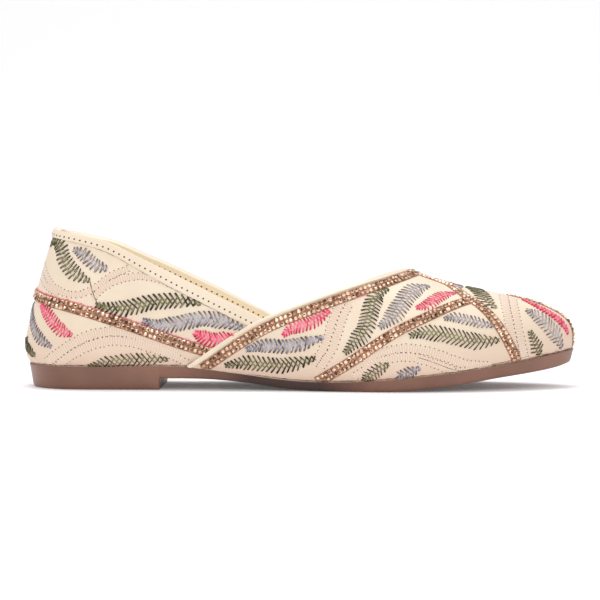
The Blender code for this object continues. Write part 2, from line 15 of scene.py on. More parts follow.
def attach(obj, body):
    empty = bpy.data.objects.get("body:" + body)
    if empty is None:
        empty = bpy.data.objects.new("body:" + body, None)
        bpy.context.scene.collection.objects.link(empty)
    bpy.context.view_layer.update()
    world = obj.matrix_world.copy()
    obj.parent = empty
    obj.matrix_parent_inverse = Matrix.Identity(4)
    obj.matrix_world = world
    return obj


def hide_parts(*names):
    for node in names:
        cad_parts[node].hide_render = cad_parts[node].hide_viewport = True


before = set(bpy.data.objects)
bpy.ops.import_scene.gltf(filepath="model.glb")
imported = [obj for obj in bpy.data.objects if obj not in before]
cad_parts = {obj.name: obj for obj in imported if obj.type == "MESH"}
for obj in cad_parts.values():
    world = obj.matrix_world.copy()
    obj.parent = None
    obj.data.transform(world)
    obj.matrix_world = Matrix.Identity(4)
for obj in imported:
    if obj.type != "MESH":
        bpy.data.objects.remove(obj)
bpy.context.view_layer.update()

MM = 0.001
rng = np.random.default_rng(7)
print("solids:", sorted(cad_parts))

# %% [markdown]
# A shoe is drawn round a last, a solid foot shape. The last is one function of two numbers: run, the
# distance forward from the widest place of the heel, and girth, from -1 at the sole on the outer side over
# the crest at 0 to +1 at the sole on the inner side. It could be a sculpted mesh, but with a function the
# leather, the tapes and the sole edge can all ask for the same point. The tables repeat the sizes of the
# solids, in millimetres. The feather edge is a shoemaker's word for where the leather meets the sole. The
# vamp's edge drops a little lower on the inner side. Only the small lift of the outer top edge isn't in the
# solids.

# %% Sizes of the last
LENGTH, HEEL_CENTRE, HEEL_HALF_WIDTH, HEEL_ARC = 246.8, 28.0, 29.0, 44.0
TOE_SWING, TOE_TAPER = 3.0, 0.32
TOE_TIP_HEIGHT, TOE_CAP_START, TOE_CAP_HEIGHT, TOE_CAP_SLOPE, TOE_CAP_ROUND = 21.0, 205.0, 43.6, -0.19, 3.1
TUCK_ANGLE, HEEL_BACK_FULLNESS = math.radians(60), 1.16
WALL, LAP_STEP, LAP_FADE, GAP, LEVEL_SHARE = 2.0, 1.1, 55.0, 0.3, 0.3
RUN_BACK, RUN_TIP = -HEEL_ARC, LENGTH - HEEL_CENTRE
LAST = {
    "x": (28, 60, 90, 115, 138, 158, 166),
    "outer_half": (29, 28.6, 28.6, 31.2, 35.6, 38.2, 38.5),
    "inner_half": (29, 27.6, 26.2, 28.4, 33.2, 36.9, 37.5),
}
FEATHER_EDGE = {
    "x": (28, 74, 96, 122, 144, 168, 203, 232, 246.8),
    "height": (10.5, 10.5, 7.9, 4.8, 4.5, 6.0, 9.8, 14.6, 17.3),
    "rise": (8.8, 9.5, 10, 10, 9.5, 9, 7, 4.8, 3.7),
    "tuck": (3, 2.4, 2.2, 2.2, 2.2, 2, 1.6, 1.2, 0.4),
}
CREST = {
    "x": (28, 60, 90, 115, 140, 158, 173, 187, 205, 246.8),
    "height": (103, 92, 82, 74, 65, 58, 52.4, 47.4, 43.6, 36),
    "fullness": (1.7, 1.7, 1.7, 1.65, 1.6, 1.62, 1.7, 1.85, 2, 2.2),
}
TOPLINE = {"x": (-44, -22, 8, 26, 39, 60, 81, 86), "height": (71.5, 70.3, 65.6, 58.4, 52.7, 42.6, 31.6, 29)}
VAMP_EDGE = {"x": (75.5, 93, 109, 132.4, 151.7, 172.5), "height": (10.5, 22.6, 31.6, 40.4, 46.5, 52.5)}
INNER_DROP = {
    "x": (75.5, 93, 109, 118, 130, 148, 156, 166),
    "drop": (0, 1.7, 2.8, 2.8, 2.2, 1.5, 0.7, 0),
}
OUTER_LIFT = {"x": (-44, -22, -2, 12, 30, 45, 62, 81), "lift": (0, 0.5, 1.1, 0.9, 0, -0.6, -0.7, 0)}
OUTER_NOTCH_X, INNER_NOTCH_X = 109.0, 111.5
print("last:", LENGTH, "mm long,", max(LAST["outer_half"]) + max(LAST["inner_half"]), "mm wide at most")

# %% [markdown]
# Between the rows of a table the shoe is smooth, so a cubic is drawn through them. A spline library could
# do that, but this one is short, passes through every row and can be told to run level at an end. Three
# more functions give the half widths, the swing of the foot's middle and the height of its crest.

# %% Curves of the last
def smooth(table, column, x, level_start=False, level_end=False):
    """Values of a table's column: a cubic through its rows, held beyond both ends."""
    xs, ys = np.array(table["x"], float), np.array(table[column], float)
    x = np.clip(x, xs[0], xs[-1])
    slopes = np.empty(len(xs))
    slopes[1:-1] = (ys[2:] - ys[:-2]) / (xs[2:] - xs[:-2])
    slopes[0] = 0 if level_start else (ys[1] - ys[0]) / (xs[1] - xs[0])
    slopes[-1] = 0 if level_end else (ys[-1] - ys[-2]) / (xs[-1] - xs[-2])
    k = np.clip(np.searchsorted(xs, x), 1, len(xs) - 1)
    span, rise = xs[k] - xs[k - 1], ys[k] - ys[k - 1]
    t = (x - xs[k - 1]) / span
    start, end = slopes[k - 1] * span, slopes[k] * span
    return ys[k - 1] + t * (start + t * (3 * rise - 2 * start - end + t * (start + end - 2 * rise)))


def past_ball(x):
    """Share of the way from the ball of the foot to the tip, below 0 behind the ball."""
    ball = LAST["x"][-1]
    return (x - ball) / (LENGTH - ball)


def half_width(x, side):
    """Half the width of the last on one side, rounded off to nothing at the tip."""
    column = "outer_half" if side < 0 else "inner_half"
    share = np.clip(past_ball(x), 0, 1)
    toe = np.sqrt(1 - share**2) * (1 - TOE_TAPER * share**2)
    return smooth(LAST, column, x, True, True) * toe


def centre(x):
    """How far the middle of the foot swings inward."""
    return TOE_SWING * np.clip(past_ball(x), 0, None) ** 2


def crest_height(x):
    """Height of the crest: the table up to the toe, and then a round cap."""
    share = np.clip((x - TOE_CAP_START) / (LENGTH - TOE_CAP_START), 0, 1)
    line = TOE_CAP_HEIGHT + TOE_CAP_SLOPE * (x - TOE_CAP_START)
    cap = TOE_TIP_HEIGHT + (line - TOE_TIP_HEIGHT) * (1 - share**TOE_CAP_ROUND) ** (1 / TOE_CAP_ROUND)
    return np.where(x <= TOE_CAP_START, smooth(CREST, "height", x), cap)


print("crest at the toe cap:", float(crest_height(TOE_CAP_START)), "mm, at the tip:", TOE_TIP_HEIGHT, "mm")

# %% [markdown]
# One section of the last is a low round tuck above the sole and then a super-ellipse up to the crest. A
# spline through a few points could follow it too, but a super-ellipse has one number for its fullness, and
# that number can change smoothly from heel to toe. Three small helpers come with it: for directions, for
# the length of a line and for points along it.

# %% Section of the last
TUCK_STEPS, ARC_STEPS = 12, 61
SLOPE_STEP, LEAST_RISE, TIP_CLOSE, TINY = 0.02, 1e-4, 1e-6, 1e-12


def unit(vectors):
    """The same directions at length one."""
    return vectors / (np.linalg.norm(vectors, axis=-1, keepdims=True) + TINY)


def lengths_along(points):
    """How far along a line each of its points lies."""
    return np.append(0.0, np.cumsum(np.linalg.norm(np.diff(points, axis=0), axis=1)))


def at_lengths(places, lengths, points):
    """Points at given places along a line."""
    return np.column_stack([np.interp(places, lengths, values) for values in np.transpose(points)])


def half_section(run, side, ups):
    """Points of half a section at the given shares of the way from the sole to the crest."""
    x = HEEL_CENTRE + max(run, 0.0)
    height, rise, tuck = (float(smooth(FEATHER_EDGE, column, x)) for column in ("height", "rise", "tuck"))
    widest = height + rise
    crest = max(float(crest_height(x)), widest + LEAST_RISE)
    fullness = float(smooth(CREST, "fullness", x))
    if run >= 0:
        middle, reach = np.array([x, centre(x)]), np.array([0.0, side * half_width(x, side)])
        low, high = max(x - SLOPE_STEP, HEEL_CENTRE), min(x + SLOPE_STEP, LENGTH)
        widen = half_width(high, side) - half_width(low, side) + side * (centre(high) - centre(low))
        at_tip = x >= LENGTH - TIP_CLOSE
        outward = np.array([1.0, 0.0]) if at_tip else np.array([-widen, side * (high - low)])
    else:
        turn = (1 + run / HEEL_ARC) * math.pi / 2
        middle = np.array([HEEL_CENTRE, 0.0])
        reach = np.array([-HEEL_CENTRE * math.cos(turn), side * HEEL_HALF_WIDTH * math.sin(turn)])
        outward = np.array([-math.cos(turn) / HEEL_CENTRE, side * math.sin(turn) / HEEL_HALF_WIDTH])
        fullness += (HEEL_BACK_FULLNESS - fullness) * math.cos(turn) ** 2
    turns = TUCK_ANGLE * (1 - np.arange(TUCK_STEPS) / TUCK_STEPS)
    drawn_in = tuck * (1 - np.cos(turns)) / (1 - math.cos(TUCK_ANGLE))
    low_part = np.column_stack([
        middle + reach - unit(outward) * drawn_in[:, None],
        widest - rise * np.sin(turns) / math.sin(TUCK_ANGLE),
    ])
    turns = np.linspace(0, math.pi / 2, ARC_STEPS)
    across, up = np.clip(np.cos(turns), 0, 1) ** (2 / fullness), np.sin(turns) ** (2 / fullness)
    high_part = np.column_stack([middle + reach * across[:, None], widest + (crest - widest) * up])
    points = np.vstack([low_part, high_part])
    lengths = lengths_along(points)
    return at_lengths(ups, lengths / lengths[-1], points)


print("outer half at the heel:", half_section(0.0, -1, [0.0, 0.5, 1.0]).round(1).tolist())

# %% [markdown]
# All sections are worked out once into a fine grid of points and outward normals. Everything else looks
# points up in that grid, which is far quicker than calling the function again for each stitch. The normals
# near the sole are turned level, so that what stands off the leather there stands out sideways.

# %% Grid of the last
GIRTH_STEPS, HEEL_SECTIONS, TOE_SECTIONS, TOE_STRETCH = 401, 60, 25, 12


def whole_section(run):
    """A section from the sole on the outer side over the crest to the sole on the inner side."""
    ups = 1 - np.abs(GIRTHS)
    outer = half_section(run, -1, ups[GIRTHS < 0])
    return np.vstack([outer, half_section(run, 1, ups[GIRTHS >= 0])])


GIRTHS = np.linspace(-1, 1, GIRTH_STEPS)
heel_runs = np.linspace(RUN_BACK, 0, HEEL_SECTIONS)
middle_runs = np.arange(1, RUN_TIP - TOE_STRETCH)
toe_runs = RUN_TIP - TOE_STRETCH * np.linspace(1, 0, TOE_SECTIONS) ** 2
RUNS = np.concatenate([heel_runs, middle_runs, toe_runs])
grid = np.array([whole_section(run) for run in RUNS])
# Two sections are mirrored past each end, so that the normals at the ends come out as anywhere else.
before, after = 2 * RUN_BACK - RUNS[[2, 1]], 2 * RUN_TIP - RUNS[[-2, -3]]
RUNS = np.concatenate([before, RUNS, after])
GRID = np.concatenate([grid[[2, 1], ::-1], grid, grid[[-2, -3], ::-1]])
OUT = unit(np.cross(np.gradient(GRID, RUNS, axis=0), np.gradient(GRID, GIRTHS, axis=1)))
# At the tip itself both sides meet, and the normal lies between theirs.
tip = np.searchsorted(RUNS, RUN_TIP)
OUT[tip] = unit(OUT[tip - 1] + OUT[tip - 1, ::-1])
print("grid of the last:", GRID.shape)


def on_last(run, girth, lift=0.0):
    """Points of the last at runs and girths, moved out along their normals, in millimetres."""
    run, girth, lift = np.broadcast_arrays(np.asarray(run, float), girth, lift)
    behind, ahead = run < RUN_BACK, run > RUN_TIP
    girth = np.where(behind | ahead, -girth, girth)
    run = np.where(behind, 2 * RUN_BACK - run, np.where(ahead, 2 * RUN_TIP - run, run))
    i = np.interp(run, RUNS, np.arange(len(RUNS)))
    j = (np.clip(girth, -1, 1) + 1) / (GIRTHS[1] - GIRTHS[0])
    i0, j0 = np.minimum(i.astype(int), len(RUNS) - 2), np.minimum(j.astype(int), len(GIRTHS) - 2)
    a, b = (i - i0)[..., None], (j - j0)[..., None]

    def mixed(values):
        near = values[i0, j0] * (1 - b) + values[i0, j0 + 1] * b
        return near * (1 - a) + (values[i0 + 1, j0] * (1 - b) + values[i0 + 1, j0 + 1] * b) * a

    out = mixed(OUT)
    share = np.minimum((1 - np.abs(girth)) / LEVEL_SHARE, 1)[..., None]
    way = out * share + unit(out * (1, 1, 0)) * (1 - share)
    return mixed(GRID) + unit(way) * lift[..., None]


# %% [markdown]
# Meshes are made from plain arrays: points in millimetres on the last, and faces as rows of point numbers.
# One helper turns them into a mesh in the frame's metres and lets it ride on the body. Python lists of
# bmesh points would do the same, but slower, and some of these pieces have tens of thousands of points.

# %% Making a piece
ORIGIN = np.array([-124.009, 0.6689, 0.0])


def add_object(name, data):
    """A new object in the scene for a mesh, a lamp or a camera."""
    thing = bpy.data.objects.new(name, data)
    bpy.context.scene.collection.objects.link(thing)
    return thing


def set_tones(mesh, tones, domain="POINT"):
    """Gives a mesh its own tone at each point or face, which its finish turns into a colour."""
    layer = mesh.attributes.new("tone", "FLOAT", domain)
    layer.data.foreach_set("value", np.asarray(tones, np.float32))


def make_piece(name, points, faces, material, slot, tones=None, sharp=None):
    """A mesh piece from points in millimetres, smooth shaded, riding on the root body."""
    mesh = bpy.data.meshes.new(name)
    corners = ((np.asarray(points) + ORIGIN) * MM).tolist()
    mesh.from_pydata(corners, [], [list(map(int, face)) for face in faces])
    mesh.materials.append(material)
    mesh.shade_smooth()
    if sharp is not None:
        mesh.set_sharp_from_angle(angle=math.radians(sharp))
    if tones is not None:
        set_tones(mesh, tones)
    piece = add_object(name, mesh)
    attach(piece, "root")
    print(name, len(mesh.vertices), "points", len(mesh.polygons), "faces")
    return piece


def grid_faces(rows, columns, first=0, close_columns=False):
    """Quads of a grid of points stored row by row. Closing joins the last column to the first."""
    last = columns if close_columns else columns - 1
    j, i = np.meshgrid(np.arange(rows - 1), np.arange(last), indexing="ij")
    i1 = (i + 1) % columns
    quads = [j * columns + i, j * columns + i1, (j + 1) * columns + i1, (j + 1) * columns + i]
    return np.stack(quads, axis=-1).reshape(-1, 4) + first


def make_sheet(name, rows, material, slot, turned=False, **look):
    """A piece from rows of points. A turned sheet faces the other way."""
    faces = grid_faces(*rows.shape[:2])[:, ::-1 if turned else 1]
    return make_piece(name, rows.reshape(-1, 3), faces, material, slot, **look)


print("back of the heel in the frame:", ORIGIN, "mm")

# %% [markdown]
# The photograph was taken with a long lens from just above the floor, about ten centimetres over it and a
# little towards the toe. A camera is placed at the same angle, and its lens is worked out from the
# scale of the picture: 0.45 mm of shoe to a pixel. The small shift puts the shoe as low in the frame as it
# is in the picture.

# %% Camera
AIM, DISTANCE, EYE_HEIGHT, YAW = np.array([124.0, 0.0, 35.0]), 1300.0, 102.0, math.radians(2.0)
MM_PER_PIXEL, FRAME_PIXELS, AIM_PIXEL = 0.45, 600, np.array([299.7, 308.2])
SENSOR, NEAREST = 36, 0.05
EYE = AIM + np.array([math.sin(YAW) * DISTANCE, -math.cos(YAW) * DISTANCE, EYE_HEIGHT - AIM[2]])
LOOK = unit(AIM - EYE)
RIGHT = unit(np.cross(LOOK, (0, 0, 1)))
UP = np.cross(RIGHT, LOOK)
eye_to_aim = np.linalg.norm(AIM - EYE)
focal_pixels = eye_to_aim / MM_PER_PIXEL


def aim(thing, place, way):
    """Puts a camera or a lamp at a place and turns it to look along a way."""
    thing.location = place
    thing.rotation_euler = Vector(way).to_track_quat("-Z", "Y").to_euler()


camera_data = bpy.data.cameras.new("photo_camera")
camera_data.sensor_width = SENSOR
camera_data.lens = SENSOR * focal_pixels / FRAME_PIXELS
camera_data.shift_x = (FRAME_PIXELS / 2 - AIM_PIXEL[0]) / FRAME_PIXELS
camera_data.shift_y = (AIM_PIXEL[1] - FRAME_PIXELS / 2) / FRAME_PIXELS
camera_data.clip_start = NEAREST
camera = add_object("photo_camera", camera_data)
aim(camera, (EYE + ORIGIN) * MM, LOOK)
bpy.context.scene.camera = camera
print("lens", round(camera_data.lens, 1), "mm")

# %% [markdown]
# Every finish here is a Principled shader with procedural nodes in front of it. A few small helpers keep
# that short: one makes the shader, one a noise in the object's own metres, and one reads the tone that a
# mesh carries. Colours are given as a paint chart gives them, 0 to 255, and turned into the linear values
# that Blender works in.

# %% Helpers for finishes
def chart(red, green, blue):
    """A linear colour from 0 to 255 chart values."""
    values = np.array([red, green, blue]) / 255
    linear = np.where(values <= 0.04045, values / 12.92, ((values + 0.055) / 1.055) ** 2.4)
    return (*linear.tolist(), 1.0)


def shader_of(material):
    return material.node_tree.nodes["Principled BSDF"]


def new_finish(name, **sockets):
    """A Principled material with some of its sockets set. In a name here, _ stands for a space."""
    material = bpy.data.materials.new(name)
    material.use_nodes = True
    for socket, value in sockets.items():
        shader_of(material).inputs[socket.replace("_", " ")].default_value = value
    return material


def noise(material, size, detail=2.0, kind="ShaderNodeTexNoise"):
    """A noise or cell pattern whose features are about size millimetres."""
    tree = material.node_tree
    place, node = tree.nodes.new("ShaderNodeTexCoord"), tree.nodes.new(kind)
    node.inputs["Scale"].default_value = 1 / (size * MM)
    node.inputs["Detail"].default_value = detail
    tree.links.new(place.outputs["Object"], node.inputs["Vector"])
    return node.outputs[0]


def tone(material):
    """The tone that the mesh carries, or 0 where it carries none."""
    node = material.node_tree.nodes.new("ShaderNodeAttribute")
    node.attribute_name = "tone"
    return node.outputs["Fac"]


print("chart value 128 is", round(chart(128, 128, 128)[0], 3), "in linear light")

# %% [markdown]
# Two more helpers bring a value to the shader: a colour ramp for its colour and a bump for its relief.
# Image textures could hold both, but nodes stay sharp at any size. A finish that only wanders between two
# colours is one call.

# %% Colour and bump
CLOUD_SHARE = 0.4


def clouded_tone(material, size, detail):
    """The mesh's tone with a share of soft noise added."""
    tree = material.node_tree
    node = tree.nodes.new("ShaderNodeMath")
    node.operation = "MULTIPLY_ADD"
    node.inputs[1].default_value = CLOUD_SHARE
    tree.links.new(noise(material, size, detail), node.inputs[0])
    tree.links.new(tone(material), node.inputs[2])
    return node.outputs[0]


def colour(material, source, stops):
    """Sends a value through a ramp of (place, colour) stops to the base colour."""
    tree = material.node_tree
    node = tree.nodes.new("ShaderNodeValToRGB")
    elements = node.color_ramp.elements
    while len(elements) < len(stops):
        elements.new(0.5)
    for element, (place, shade) in zip(elements, stops):
        element.position = place
        element.color = shade
    tree.links.new(source, node.inputs["Fac"])
    tree.links.new(node.outputs["Color"], shader_of(material).inputs["Base Color"])


def bump(material, source, depth, strength):
    """Roughens the surface by depth millimetres, on top of any bump that is already there."""
    tree, normal = material.node_tree, shader_of(material).inputs["Normal"]
    node = tree.nodes.new("ShaderNodeBump")
    node.inputs["Distance"].default_value = depth * MM
    node.inputs["Strength"].default_value = strength
    tree.links.new(source, node.inputs["Height"])
    if normal.is_linked:
        tree.links.new(normal.links[0].from_socket, node.inputs["Normal"])
    tree.links.new(node.outputs["Normal"], normal)


def mottled(name, roughness, size, stops):
    """A finish whose colour wanders between the stops, in clouds of about size millimetres."""
    material = new_finish(name, Roughness=roughness)
    colour(material, noise(material, size), stops)
    return material


print("clouds add up to", CLOUD_SHARE, "to a tone")

# %% [markdown]
# The shoe stands on a plain white sweep under soft studio light: a floor that curves up behind it, so that
# no horizon shows. A bright, even world does most of the work. One large lamp above and a little behind
# gives the stones their gloss and draws the soft shade under the sole, and a lower one in front lights the
# outer side. Large lamps are chosen because small ones draw hard shadows. The floor glows a little, so that
# it stays as white as the picture's ground.

# %% Floor and light
WORLD_LIGHT, FLOOR_COLOUR, FLOOR_ROUGHNESS, FLOOR_GLOW = 0.76, (0.9, 0.9, 0.91, 1), 0.7, 0.08
WHITE = (1, 1, 1, 1)
SWEEP_BACK, SWEEP_RADIUS, SWEEP_HALF, SWEEP_STEPS = 0.9, 0.9, 4.0, 25
LAMPS = {
    "key_lamp": {"place": (-0.1, 0.15, 1.2), "target": (0, 0, 0.02), "size": (0.9, 0.7), "power": 9.6},
    "front_lamp": {"place": (0.1, -1.6, 0.75), "target": (0, 0, 0.03), "size": (1.4, 0.8), "power": 6.9},
}


def soft_lamp(name, place, target, size, power):
    data = bpy.data.lights.new(name, "AREA")
    data.shape, data.energy = "RECTANGLE", power
    data.size, data.size_y = size
    aim(add_object(name, data), place, np.subtract(target, place))


world = bpy.data.worlds.new("white_studio")
world.use_nodes = True
world.node_tree.nodes["Background"].inputs["Color"].default_value = WHITE
world.node_tree.nodes["Background"].inputs["Strength"].default_value = WORLD_LIGHT
bpy.context.scene.world = world
bpy.context.scene.view_settings.view_transform = "Standard"
for name, lamp in LAMPS.items():
    soft_lamp(name, **lamp)

turns = np.linspace(0, math.pi / 2, SWEEP_STEPS)
profile = [(-SWEEP_HALF, 0.0)]
profile += [(SWEEP_BACK + SWEEP_RADIUS * math.sin(t), SWEEP_RADIUS * (1 - math.cos(t))) for t in turns]
profile.append((SWEEP_BACK + SWEEP_RADIUS, SWEEP_HALF))
floor_mesh = bpy.data.meshes.new("floor")
floor_corners = [(x, y, z) for y, z in profile for x in (-SWEEP_HALF, SWEEP_HALF)]
floor_mesh.from_pydata(floor_corners, [], grid_faces(len(profile), 2).tolist())
floor_mesh.shade_smooth()
floor_paint = new_finish(
    "pale_floor", Base_Color=FLOOR_COLOUR, Roughness=FLOOR_ROUGHNESS, Emission_Color=WHITE,
    Emission_Strength=FLOOR_GLOW,
)
floor_mesh.materials.append(floor_paint)
floor = add_object("floor", floor_mesh)
print("sweep of", len(profile), "rows,", len(LAMPS), "lamps")

# %% [markdown]
# The upper, its binding and its lining are a smooth cream leather. Beside the sole it is painted pinker
# and darker: painted shade, and light reflected from the brown sole. A paint texture could hold those
# clouds, but a large soft noise does it at any size, and the mesh's tone adds the painted pink. Below zero
# the tone gives a paler cream, painted light on inner faces that lie in shade. A fine cell pattern gives
# the pores and a middle noise the faint orange peel that keeps the gloss from looking like plastic.

# %% Leather
CREAM, CREAM_SHADE, BOUNCE_SHADE_PINK = chart(227, 210, 188), chart(222, 203, 180), chart(212, 184, 164)
# The lining's creams are paler than the upper's: painted light for the inside of the shoe, which lies in
# shade.
LINING_CREAM, LINING_SHADE = chart(252, 243, 219), chart(248, 236, 208)
# Below tone zero the leather turns a paler cream: painted light for inner faces that lie in shade.
PAINTED_LIGHT_CREAM, PAINTED_LIGHT_TONE = chart(236, 221, 199), -0.3
LEATHER_CLOUD, PEEL_SIZE, PORE_SIZE = 16, 2.2, 0.45


def leather(name, pale, deep, roughness):
    material = new_finish(name, Roughness=roughness)
    stops = [(0.02, PAINTED_LIGHT_CREAM), (0.13, pale), (0.28, deep), (1.0, BOUNCE_SHADE_PINK)]
    colour(material, clouded_tone(material, LEATHER_CLOUD, detail=3), stops)
    bump(material, noise(material, PEEL_SIZE), depth=0.10, strength=0.5)
    bump(material, noise(material, PORE_SIZE, 0, "ShaderNodeTexVoronoi"), depth=0.03, strength=0.6)
    return material


CREAM_LEATHER = leather("cream_leather", CREAM, CREAM_SHADE, 0.46)
BINDING_LEATHER = leather("binding_leather", CREAM, CREAM_SHADE, 0.42)
LINING_LEATHER = leather("lining_leather", LINING_CREAM, LINING_SHADE, 0.55)
print("leathers:", CREAM_LEATHER.name, BINDING_LEATHER.name, LINING_LEATHER.name)

# %% [markdown]
# The upper is cut as two leathers: a quarter that wraps the heel and a vamp that laps over it with a free
# edge. Both edges are curves on the last. The quarter's top edge and the vamp's rear edge are known by
# their heights, so each is found by walking along the grid until the last has that height. Where the two
# meet there is a notch on each side.

# %% Edges of the leather
SHARES = np.linspace(0, 1, 201)
SIDES = (-1, 1)
EDGE_STEPS, TOP_STEPS, PAST_NOTCH = 500, 160, 10


def girth_at_height(runs, side, heights):
    """Girths at which the last reaches given heights, one for each run."""
    rises = on_last(np.asarray(runs)[:, None], side * (1 - SHARES)[None, :])[..., 2]
    return np.array([side * (1 - np.interp(h, rise, SHARES)) for h, rise in zip(heights, rises)])


edge_x = np.linspace(VAMP_EDGE["x"][0], VAMP_EDGE["x"][-1], EDGE_STEPS)
above = on_last(edge_x[:, None] - HEEL_CENTRE, GIRTHS[None, :])[..., 2]
above -= smooth(VAMP_EDGE, "height", edge_x)[:, None]
above += smooth(INNER_DROP, "drop", edge_x, True, True)[:, None] * (GIRTHS > 0)
EDGE_RUN = np.array([np.interp(0, -heights, edge_x - HEEL_CENTRE) for heights in above.T])
NOTCH_RUNS = OUTER_NOTCH_X - HEEL_CENTRE, INNER_NOTCH_X - HEEL_CENTRE
top_runs = np.linspace(RUN_BACK, max(NOTCH_RUNS) + PAST_NOTCH, TOP_STEPS)
top_heights = smooth(TOPLINE, "height", top_runs, level_start=True)
outer_heights = top_heights + smooth(OUTER_LIFT, "lift", top_runs, True, True)
TOP_GIRTH = [girth_at_height(top_runs, *row) for row in zip(SIDES, (outer_heights, top_heights))]


def top_girth(run, side):
    """Girths of the quarter's top edge at runs, each on its own side."""
    return np.where(side < 0, *[np.interp(run, top_runs, girths) for girths in TOP_GIRTH])


NOTCH_UPS = [1 - abs(float(top_girth(run, side))) for run, side in zip(NOTCH_RUNS, SIDES)]


def notch_up(girth):
    """How far up the last the notch lies, on the side that a girth is on."""
    return np.where(np.asarray(girth) < 0, *NOTCH_UPS)


def edge_run(girth):
    """Run of the vamp's rear edge."""
    return np.interp(girth, GIRTHS, EDGE_RUN)


def lap_lift(run, girth):
    """How far the vamp stands off the last: one leather where it laps the quarter, fading forward and up."""
    behind = np.clip(1 - (run - edge_run(girth)) / LAP_FADE, 0, 1)
    return LAP_STEP * behind**2 * np.minimum(np.abs(girth) / (1 - notch_up(girth)), 1)


print("notches at", np.round(NOTCH_UPS, 3), "of the way up; throat at run", round(float(edge_run(0.0)), 1))

# %% [markdown]
# Each leather is a fine sheet of points on the last. The quarter runs from under the lap on one side, round
# the heel, to under the lap on the other. The vamp runs from sole to sole over the foot. They could be
# subdivided from a coarse cage, but a dense sheet is needed anyway, so that creases and the gathers at the
# sole are real shape.

# %% Sheets of leather
TUCK_UNDER, QUARTER_ROWS, QUARTER_COLUMNS, VAMP_ROWS, VAMP_COLUMNS = 5.0, 64, 321, 261, 181
TOE_CROWDING, HALF_GIRTH, GATHER_DEPTH, GATHER_HEIGHT = 1.5, 70, 0.11, 4.0
LONG_WAVE, SHORT_WAVE, SHORT_SHARE, WAVE_DRIFT, DRIFT_WAVE, SIDE_SHIFT = 1.15, 2.3, 0.6, 1.4, 0.21, 2


def quarter_places():
    """Runs and girths of the quarter, row by row from the sole to the top edge."""
    f, t = np.meshgrid(np.linspace(0, 1, QUARTER_ROWS), np.linspace(-1, 1, QUARTER_COLUMNS), indexing="ij")
    side, t = np.where(t < 0, -1, 1), np.abs(t)
    up_lap = notch_up(side) * f
    run_lap = edge_run(side * (1 - up_lap)) + TUCK_UNDER
    run = RUN_BACK + (run_lap - RUN_BACK) * t
    top, top_lap = (1 - np.abs(top_girth(at, side)) for at in (run, run_lap))
    up = (f + (np.minimum(up_lap / top_lap, 1) - f) * t) * top
    return run, side * (1 - up)


def vamp_places():
    """Runs and girths of the vamp, row by row over the foot, each from the rear edge to the toe."""
    girth, c = np.meshgrid(np.linspace(-1, 1, VAMP_ROWS), np.linspace(0, 1, VAMP_COLUMNS), indexing="ij")
    start = edge_run(girth)
    return start + (RUN_TIP - start) * (1 - (1 - c) ** TOE_CROWDING), girth


def pucker(run, girth):
    """Small gathers where the leather is drawn down to the sole: waves of two lengths, so none are alike."""
    above_sole = (1 - np.abs(girth)) * HALF_GIRTH
    waves = np.sin(run * LONG_WAVE + WAVE_DRIFT * np.sin(run * DRIFT_WAVE))
    waves += SHORT_SHARE * np.sin(run * SHORT_WAVE + girth * SIDE_SHIFT)
    return GATHER_DEPTH * waves * np.exp(-((above_sole / GATHER_HEIGHT) ** 2))


def joined(quarter, vamp, inward):
    """Points and faces of both leathers as one mesh, facing into the shoe or out of it."""
    turn = 1 if inward else -1
    points = np.vstack([quarter.reshape(-1, 3), vamp.reshape(-1, 3)])
    first = quarter.shape[0] * quarter.shape[1]
    vamp_faces = grid_faces(*vamp.shape[:2], first=first)[:, ::-turn]
    return points, np.vstack([grid_faces(*quarter.shape[:2])[:, ::turn], vamp_faces])


def skin_of(quarter, vamp):
    """Something to drop points onto: both leathers as one surface."""
    points, faces = joined(quarter, vamp, inward=False)
    return BVHTree.FromPolygons(points.tolist(), faces.tolist())


quarter_run, quarter_girth = quarter_places()
vamp_run, vamp_girth = vamp_places()
quarter_lift = pucker(quarter_run, quarter_girth)
vamp_lift = lap_lift(vamp_run, vamp_girth) + pucker(vamp_run, vamp_girth)
quarter_sheet = on_last(quarter_run, quarter_girth, quarter_lift)
vamp_sheet = on_last(vamp_run, vamp_girth, vamp_lift)
SKIN = skin_of(quarter_sheet, vamp_sheet)
print("sheets:", quarter_sheet.shape, vamp_sheet.shape)

# %% [markdown]
# Stitches and creases are placed where the photograph shows them, by pixel. A ray from the camera through
# that pixel finds the point of the leather that it shows, so the motif lies on the leather from every side.
# The inner side isn't seen, and it gets the outer side's design mirrored, as such shoes are made.

# %% From a pixel to the leather
PIXEL_STEP, SAME_PLACE, CURVE_STEPS = 3.0, 1e-4, 20


def seen_at(pixel):
    """The point of the leather that a pixel shows, or the nearest one if the pixel just misses it."""
    across, down = np.asarray(pixel, float) - AIM_PIXEL
    way = unit(LOOK * focal_pixels + RIGHT * across - UP * down)
    hit = SKIN.ray_cast(Vector(EYE), Vector(way))[0]
    if hit is None:
        hit = SKIN.find_nearest(Vector(EYE + way * eye_to_aim))[0]
    return np.array(hit)


def seat(points, lift=0.0):
    """Points dropped onto the leather and lifted off it, with the leather's normals there."""
    found = [SKIN.find_nearest(Vector(point))[:2] for point in points]
    normals = np.array([normal for _, normal in found])
    return np.array([place for place, _ in found]) + normals * np.reshape(lift, (-1, 1)), normals


def spaced(points, step):
    """A smooth line through points, cut into equal steps."""
    points = np.asarray(points, float)
    points = points[np.append(True, np.diff(lengths_along(points)) > SAME_PLACE)]
    if len(points) > 2:
        chords = lengths_along(points)
        fine = np.linspace(0, chords[-1], CURVE_STEPS * len(points))
        curves = [smooth({"x": chords, "value": values}, "value", fine) for values in points.T]
        points = np.column_stack(curves)
    lengths = lengths_along(points)
    even = np.linspace(0, lengths[-1], max(2, round(lengths[-1] / step) + 1))
    return at_lengths(even, lengths, points)


